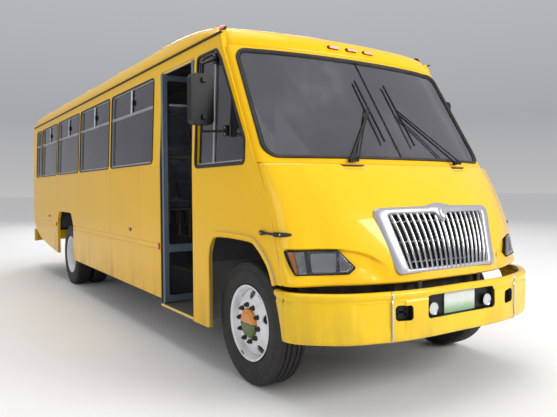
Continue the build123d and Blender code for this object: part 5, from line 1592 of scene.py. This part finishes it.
# ---------------------------------------------------------------- seals round the side windows, the cab windows and the rear window
g = Geo()
gl = Geo()
sx_ = lambda z: 1250 - (42 * (z - 1790) / 1030.0 if z > 1790 else 0)
for s in (-1, 1):
    bays = [(1815, 3290), (3372, 4850), (4932, 6360), (6442, 7755), (7838, 8290)] + ([(900, 1722)] if s > 0 else [])
    for a, b in bays:
        o_ = outline_pts(round_poly([(a + 3, 1811), (b - 3, 1811), (b - 3, 2697), (a + 3, 2697)], 44, 6), 90)
        g.add(tube([(s * (sx_(z) + 1.0), v, z) for v, z in o_], 7.5, n=8, close=True), 0)
        # rails of the sliding upper panes, catches
        zt = 2400
        g.add(tube([(s * (sx_(zt) - 2.0), a + 20, zt), (s * (sx_(zt) - 2.0), b - 20, zt)], 9.0, n=8), 1)
        mid = (a + b) / 2
        if b - a > 700:
            for vv in (mid - 14, mid + 14):
                g.add(tube([(s * (sx_(2412) - 9), vv, 2412), (s * (sx_(2680) - 9), vv, 2680)], 8.0, n=8), 1)
            g.add(block(min(s * (sx_(2540) - 16), s * (sx_(2540) - 1)), max(s * (sx_(2540) - 16), s * (sx_(2540) - 1)), mid - 60, mid - 34, 2500, 2560), 2)
    cabw = [(-118, 1732), (752, 1732), (752, 2690), (388, 2690), (300, 2590), (-118, 1912)] if s < 0 else [(-118, 1732), (752, 1732), (752, 2690), (388, 2690), (300, 2590), (-118, 1912)]
    o_ = outline_pts(round_poly(cabw, 34, 6), 120)
    g.add(tube([(s * (sx_(z) + 1.0), v, z) for v, z in o_], 13.0, n=8, close=True), 0)
    # slider post of the cab window with its lower rail
    g.add(tube([(s * (sx_(z) - 14), 420, z) for z in (1745, 2200, 2680)], 13.0, n=8), 1)
    g.add(tube([(s * (sx_(1752) - 14), -100, 1752), (s * (sx_(1752) - 14), 740, 1752)], 10.0, n=8), 1)
o_ = outline_pts(round_poly([(-930, 1850), (930, 1850), (905, 2600), (-905, 2600)], 90, 8), 110)
g.add(tube([(x, 8771, z) for x, z in o_], 15.0, n=8, close=True), 0)
made("window_seals", g, [M["rubber"], M["alu"], M["black"]], "body", sharp=45)

# ---------------------------------------------------------------- flared lips of the front arches, rub rail end caps
g = Geo()
for s in (-1, 1):
    lip = curve([(530, 372), (530, 700), (528, 990), (470, 1122), (340, 1184), (-150, 1184), (-300, 1147), (-470, 1012), (-548, 874)], 5)
    g.add(sweep([(s * 1250, v, z) for v, z in lip], [(-4, -16), (-2, 8), (10, 17), (26, 15), (36, 4), (40, -6), (30, -16)] if s < 0 else
                [(-4, 16), (-2, -8), (10, -17), (26, -15), (36, -4), (40, 6), (30, 16)], (1, 0, 0)), 0)
made("arch_lips", g, M["paint"], "body", sharp=40)
g = Geo()
for s in (-1, 1):
    for v in (5235.0, 6525.0):
        g.add(block(min(s * 1249, s * 1264), max(s * 1249, s * 1264), v - 26, v + 2, 932, 998), 0)
    for v in ((1640.0,) if s < 0 else (700.0,)):
        g.add(block(min(s * 1249, s * 1264), max(s * 1249, s * 1264), v - 8, v + 16, 932, 998), 0)
# the red lens glows faintly: painted light, as these caps are no lamps
made("rub_rail_caps", g, M["red"], "body", bevel=3.0)

# ================================================================ seats
def pad(g, c, h, tilt, m=0, crown=0.16, channels=3, nu=22, nv=14):
    """crowned cushion: c centre, h half sizes (x, depth, height in its own frame), tilt about x; sewn channels across its face"""
    hx, hy, hz = h
    ct, st_ = cos(tilt), sin(tilt)
    thin = 1 if hy < hz else 2          # the short way is where the padding crowns
    rows = []
    sgn = lambda q, e: (1 if q >= 0 else -1) * abs(q) ** e
    for i in range(nv + 1):
        ph = -pi / 2 + pi * i / nv
        row = []
        for j in range(nu):
            th = 2 * pi * j / nu
            a, b = sgn(cos(ph), 0.32) * sgn(cos(th), 0.30), sgn(cos(ph), 0.32) * sgn(sin(th), 0.30)
            k = sgn(sin(ph), 0.55)
            # a, b run over the face, k is the thickness
            grow = 1.0 + crown * (1 - a * a) * (1 - b * b) - 0.05 * abs(sin(channels * pi * (a + 1) / 2)) ** 0.3 * 0
            groove = 1.0 - 0.22 * max(0.0, 1 - abs(((a + 1) / 2 * channels) % 1.0 - 0.0) * 9) - 0.22 * max(0.0, 1 - abs(((a + 1) / 2 * channels) % 1.0 - 1.0) * 9) if abs(a) < 0.9 else 1.0
            pinch = 1.0 - 0.05 * (a * a * b * b) * 1.0
            x = a * hx * pinch
            if thin == 1:
                y, z = k * hy * grow * groove, b * hz * pinch
            else:
                y, z = b * hy * pinch, k * hz * grow * groove
            row.append((c[0] + x, c[1] + y * ct + z * st_, c[2] - y * st_ + z * ct))
        rows.append(row)
    v, f = skin(rows, close_v=True)
    g.add((v, f), m)


cush, frames = Geo(), Geo()


def bench(x0, x1, y0, places, legs=True):
    w = (x1 - x0) / places
    for k in range(places):
        cx = x0 + w * (k + 0.5)
        pad(cush, (cx, y0 + 222, 1368), (abs(w) / 2 - 8, 212, 34), 0.0, 0)
        pad(cush, (cx, y0 + 502, 1650), (abs(w) / 2 - 8, 27, 240), 0.228, 0)
        # moulded shell behind the back and below the seat
        a, b = sorted((cx - w / 2 + 4 * (1 if w > 0 else -1), cx + w / 2 - 4 * (1 if w > 0 else -1)))
        frames.add(prism([(y0 + 455, 1385), (y0 + 468, 1382), (y0 + 588, 1880), (y0 + 574, 1888)], "x", a, b), 0)
        frames.add(prism([(y0 + 10, 1320), (y0 + 440, 1318), (y0 + 440, 1332), (y0 + 10, 1334)], "x", a, b), 0)
    lo, hi = sorted((x0, x1))
    hoop = round_poly([(lo + 18, 1480), (lo + 18, 1922), (hi - 18, 1922), (hi - 18, 1480)], 60, 5)[0:]
    top = [(x, y0 + 470 + (z - 1400) * 0.232, z) for x, z in [(lo + 18, 1480), (lo + 18, 1700), (lo + 20, 1880), (lo + 60, 1922), (hi - 60, 1922), (hi - 20, 1880), (hi - 18, 1700), (hi - 18, 1480)]]
    frames.add(tube(curve(top, 3), 12.0, n=8), 1)
    if legs:
        for v in (y0 + 80, y0 + 400):
            xl = 440 if x0 > 0 or x1 > 0 else -440
            frames.add(tube([(xl, v, 953), (xl, v, 1318)], 15.0, n=10), 1)
        xl = 440 if x0 > 0 or x1 > 0 else -440
        frames.add(tube([(xl, y0 + 60, 1308), (xl, y0 + 420, 1308)], 14.0, n=8), 1)
        frames.add(block(xl - 30, xl + 30, y0 + 50, y0 + 430, 950.5, 957), 1)


for s, first, n in ((-1, 1900.0, 8), (1, 1450.0, 9)):
    for i in range(n):
        bench(s * 332, s * 1178, first + i * 740.0, 2)
for k in range(5):
    bench(-1170 + 468 * k, -1170 + 468 * (k + 1), 8078, 1, legs=False)
for x in (-880, -440, 0, 440, 880):
    frames.add(tube([(x, 8320, 953), (x, 8320, 1318)], 15.0, n=10), 1)
seat_ob = made("bench_cushions", cush, M["vinyl"], "body", sharp=60, replaces=("passenger_seats",))
made("bench_frames", frames, [M["shell"], M["rail"]], "body", sharp=35)

g = Geo()
pad(g, (670, 640, 1368), (212, 228, 44), 0.0, 0, crown=0.25)
pad(g, (670, 940, 1700), (208, 40, 265), 0.15, 0, crown=0.25)
pad(g, (670, 992, 2015), (120, 30, 58), 0.15, 0, crown=0.2, channels=1)
drv = made("driver_cushions", g, M["vinyl2"], "body", sharp=60, replaces=("driver_seat",))
g = Geo()
g.add(block(505, 815, 620, 850, 951, 1010), 0)
for i in range(6):
    g.add(prism(round_poly([(530 - 12 * (i % 2), 640 - 12 * (i % 2)), (790 + 12 * (i % 2), 640 - 12 * (i % 2)), (790 + 12 * (i % 2), 830 + 12 * (i % 2)), (530 - 12 * (i % 2), 830 + 12 * (i % 2))], 30, 4), "z", 1010 + 46 * i, 1058 + 46 * i), 1)
g.add(block(480, 860, 430, 860, 1288, 1322), 0)
for x in (610, 730):
    g.add(tube([(x, 975, 1940), (x, 985, 1985)], 7, n=8), 0)
g.add(tube([(445, 640, 1330), (435, 560, 1345), (432, 520, 1350)], 9, n=8), 0)
made("driver_seat_base", g, [M["trim"], M["rubber"]], "body", bevel=4.0)

# ---------------------------------------------------------------- dashboard hood, dials, switches
g = Geo()
g.add(prism(round_poly([(-150, 1640), (-60, 1640), (-75, 1742), (-140, 1750)], 16, 4), "x", 420, 830), 0)
for cx, r in ((520, 34), (625, 46), (730, 34)):
    ring = lambda rr, off: [(cx + rr * cos(2 * pi * i / 28), -66 - 0.14 * (rr * sin(2 * pi * i / 28)) + off, 1692 + rr * sin(2 * pi * i / 28)) for i in range(28)]
    v, f = skin([ring(r, -4), ring(r, 8), ring(r - 5, 9), ring(r - 7, 4)], close_v=True)
    f.append(tuple(range(84, 112)))
    f.append(tuple(range(28))[::-1])
    g.add((v, f), 1)
for i in range(7):
    g.add(block(-330 + 70 * i, -290 + 70 * i, -44, -34, 1560, 1590), 2)
made("dash_cluster", g, [M["trim"], M["black"], M["liner"]], "body", bevel=3.0)

# ---------------------------------------------------------------- mirrors: glass, rims, clamps
g = Geo()
for s in (-1, 1):
    cx = s * 1405
    o_ = round_poly([(cx - 84, 2066), (cx + 84, 2066), (cx + 84, 2434), (cx - 84, 2434)], 26, 5)
    g.add(prism(o_, "y", 344, 347.5), 1)
    g.add(tube([(x, 346, z) for x, z in round_poly([(cx - 88, 2062), (cx + 88, 2062), (cx + 88, 2438), (cx - 88, 2438)], 28, 5)], 6.0, n=8, close=True), 0)
    for z in (2110, 2400):
        g.add(block(cx - 26 if s > 0 else cx - 10, cx + 10 if s > 0 else cx + 26, 246, 270, z - 18, z + 18), 0)
    # brackets where the arms meet the body
    for v, z in ((380, 2612), (160, 1998)):
        g.add(block(*sorted((s * (sx_(z) - 2), s * (sx_(z) + 26))), v - 30, v + 30, z - 42, z + 42), 0)
        for dz in (-26, 26):
            g.add(tube([(s * (sx_(z) + 24), v, z + dz), (s * (sx_(z) + 31), v, z + dz)], 7, n=6), 2)
made("mirror_fittings", g, [M["black"], M["mirror"], M["steel"]], "body", bevel=2.0)

# ---------------------------------------------------------------- door leaves: edge rubbers, handles; sill edge
for name, side_v in (("front_door", 853.0), ("rear_door", 1592.0)):
    lo_, hi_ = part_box(name + "_leaf")
    x0, x1 = lo_[0] * 1000, hi_[0] * 1000
    v0, v1 = lo_[1] * 1000 + YA, hi_[1] * 1000 + YA
    vm = (v0 + v1) / 2
    g = Geo()
    g.add(tube([(x1 - 4, vm, 420), (x1 - 4, vm, 2670)], 6.0, n=8, flat=1.0), 0)
    for z0, z1 in ((470, 900), (985, 2630)):
        for dv in (-16, 16):
            pts = round_poly([(x0 + 62, z0), (x1 - 45, z0), (x1 - 45, z1), (x0 + 62, z1)], 22, 4)
            g.add(tube([(x, vm + dv * 0.95, z) for x, z in pts], 5.0, n=6, close=True), 0)
    hv = 1 if name == "front_door" else -1
    g.add(tube(curve([(x1 - 30, vm + hv * 14, 1180), (x1 - 30, vm + hv * 52, 1215), (x1 - 30, vm + hv * 56, 1500), (x1 - 30, vm + hv * 52, 1785), (x1 - 30, vm + hv * 14, 1820)], 4), 11.0, n=10), 1)
    made(name + "_trim", g, [M["rubber"], M["rail"]], name, sharp=45)
g = Geo()
g.add(block(-1251, -1240, 836, 1609, 366, 388), 0)
for i in range(14):
    g.add(block(-1232, -860, 850 + 55 * i, 866 + 55 * i, 379.5, 384), 1)
    if i < 13:
        g.add(block(-832, -510, 850 + 55 * i, 866 + 55 * i, 664.5, 669), 1)
g.add(block(-842, -832, 836, 1609, 652, 671), 0)
made("step_edges", g, [M["rail"], M["step"]], "body", bevel=1.5)
# rubbers of the door opening
g = Geo()
for v in (833.0, 1612.0):
    g.add(tube([(-1238, v, 400), (-1238, v, 1790), (-1200, v, 2705)], 8.0, n=8), 0)
made("door_seals", g, [M["rubber"]], "body", sharp=45)
# filler flap and its latch on the left, vent slots on the right rear panel
g = Geo()
g.add(prism(round_poly([(3020, 640), (3260, 640), (3260, 860), (3020, 860)], 18, 4), "x", 1249, 1254), 0)
g.add(prism(round_poly([(3225, 738), (3245, 738), (3245, 762), (3225, 762)], 5, 3), "x", 1253, 1260), 1)
for i in range(9):
    g.add(prism([(7300 + 0, 1240 + 30 * i), (7620, 1240 + 30 * i), (7620, 1252 + 30 * i), (7300, 1252 + 30 * i)], "x", 1249, 1255), 0)
    
made("side_flaps", g, [M["paint"], M["black"]], "body", bevel=1.5)
# frame of the rear plate, tow eyes stay bare
g = Geo()
g.add(tube([(x, 8779, z) for x, z in round_poly([(-168, 977), (168, 977), (168, 1133), (-168, 1133)], 10, 4)], 5.0, n=8, close=True), 0)
for x in (-120, 120):
    g.add(tube([(x, 8776, 1112), (x, 8782, 1112)], 6, n=6), 1)
g.add(block(-60, 60, 8768, 8800, 1142, 1166), 0)
made("rear_plate_frame", g, [M["black"], M["steel"]], "body", bevel=1.5)

# splash shield between the bumper and the axle, on the bumper brackets
g = Geo()
edge_ = [(x, bump_f.y(abs(x), 660.3) + 62) for x in [-1150 + 50 * i for i in range(47)]]
g.add(prism(edge_ + [(1150, -650), (-1150, -650)], "z", 628, 634))
for x in (-900, -600, -300, 0, 300, 600, 900):
    g.add(prism([(x - 12, bump_f.y(abs(x), 660.3) + 80), (x + 12, bump_f.y(abs(x), 660.3) + 80), (x + 12, -670), (x - 12, -670)], "z", 633, 641))
made("splash_shield", g, M["trim"], "body", sharp=30)
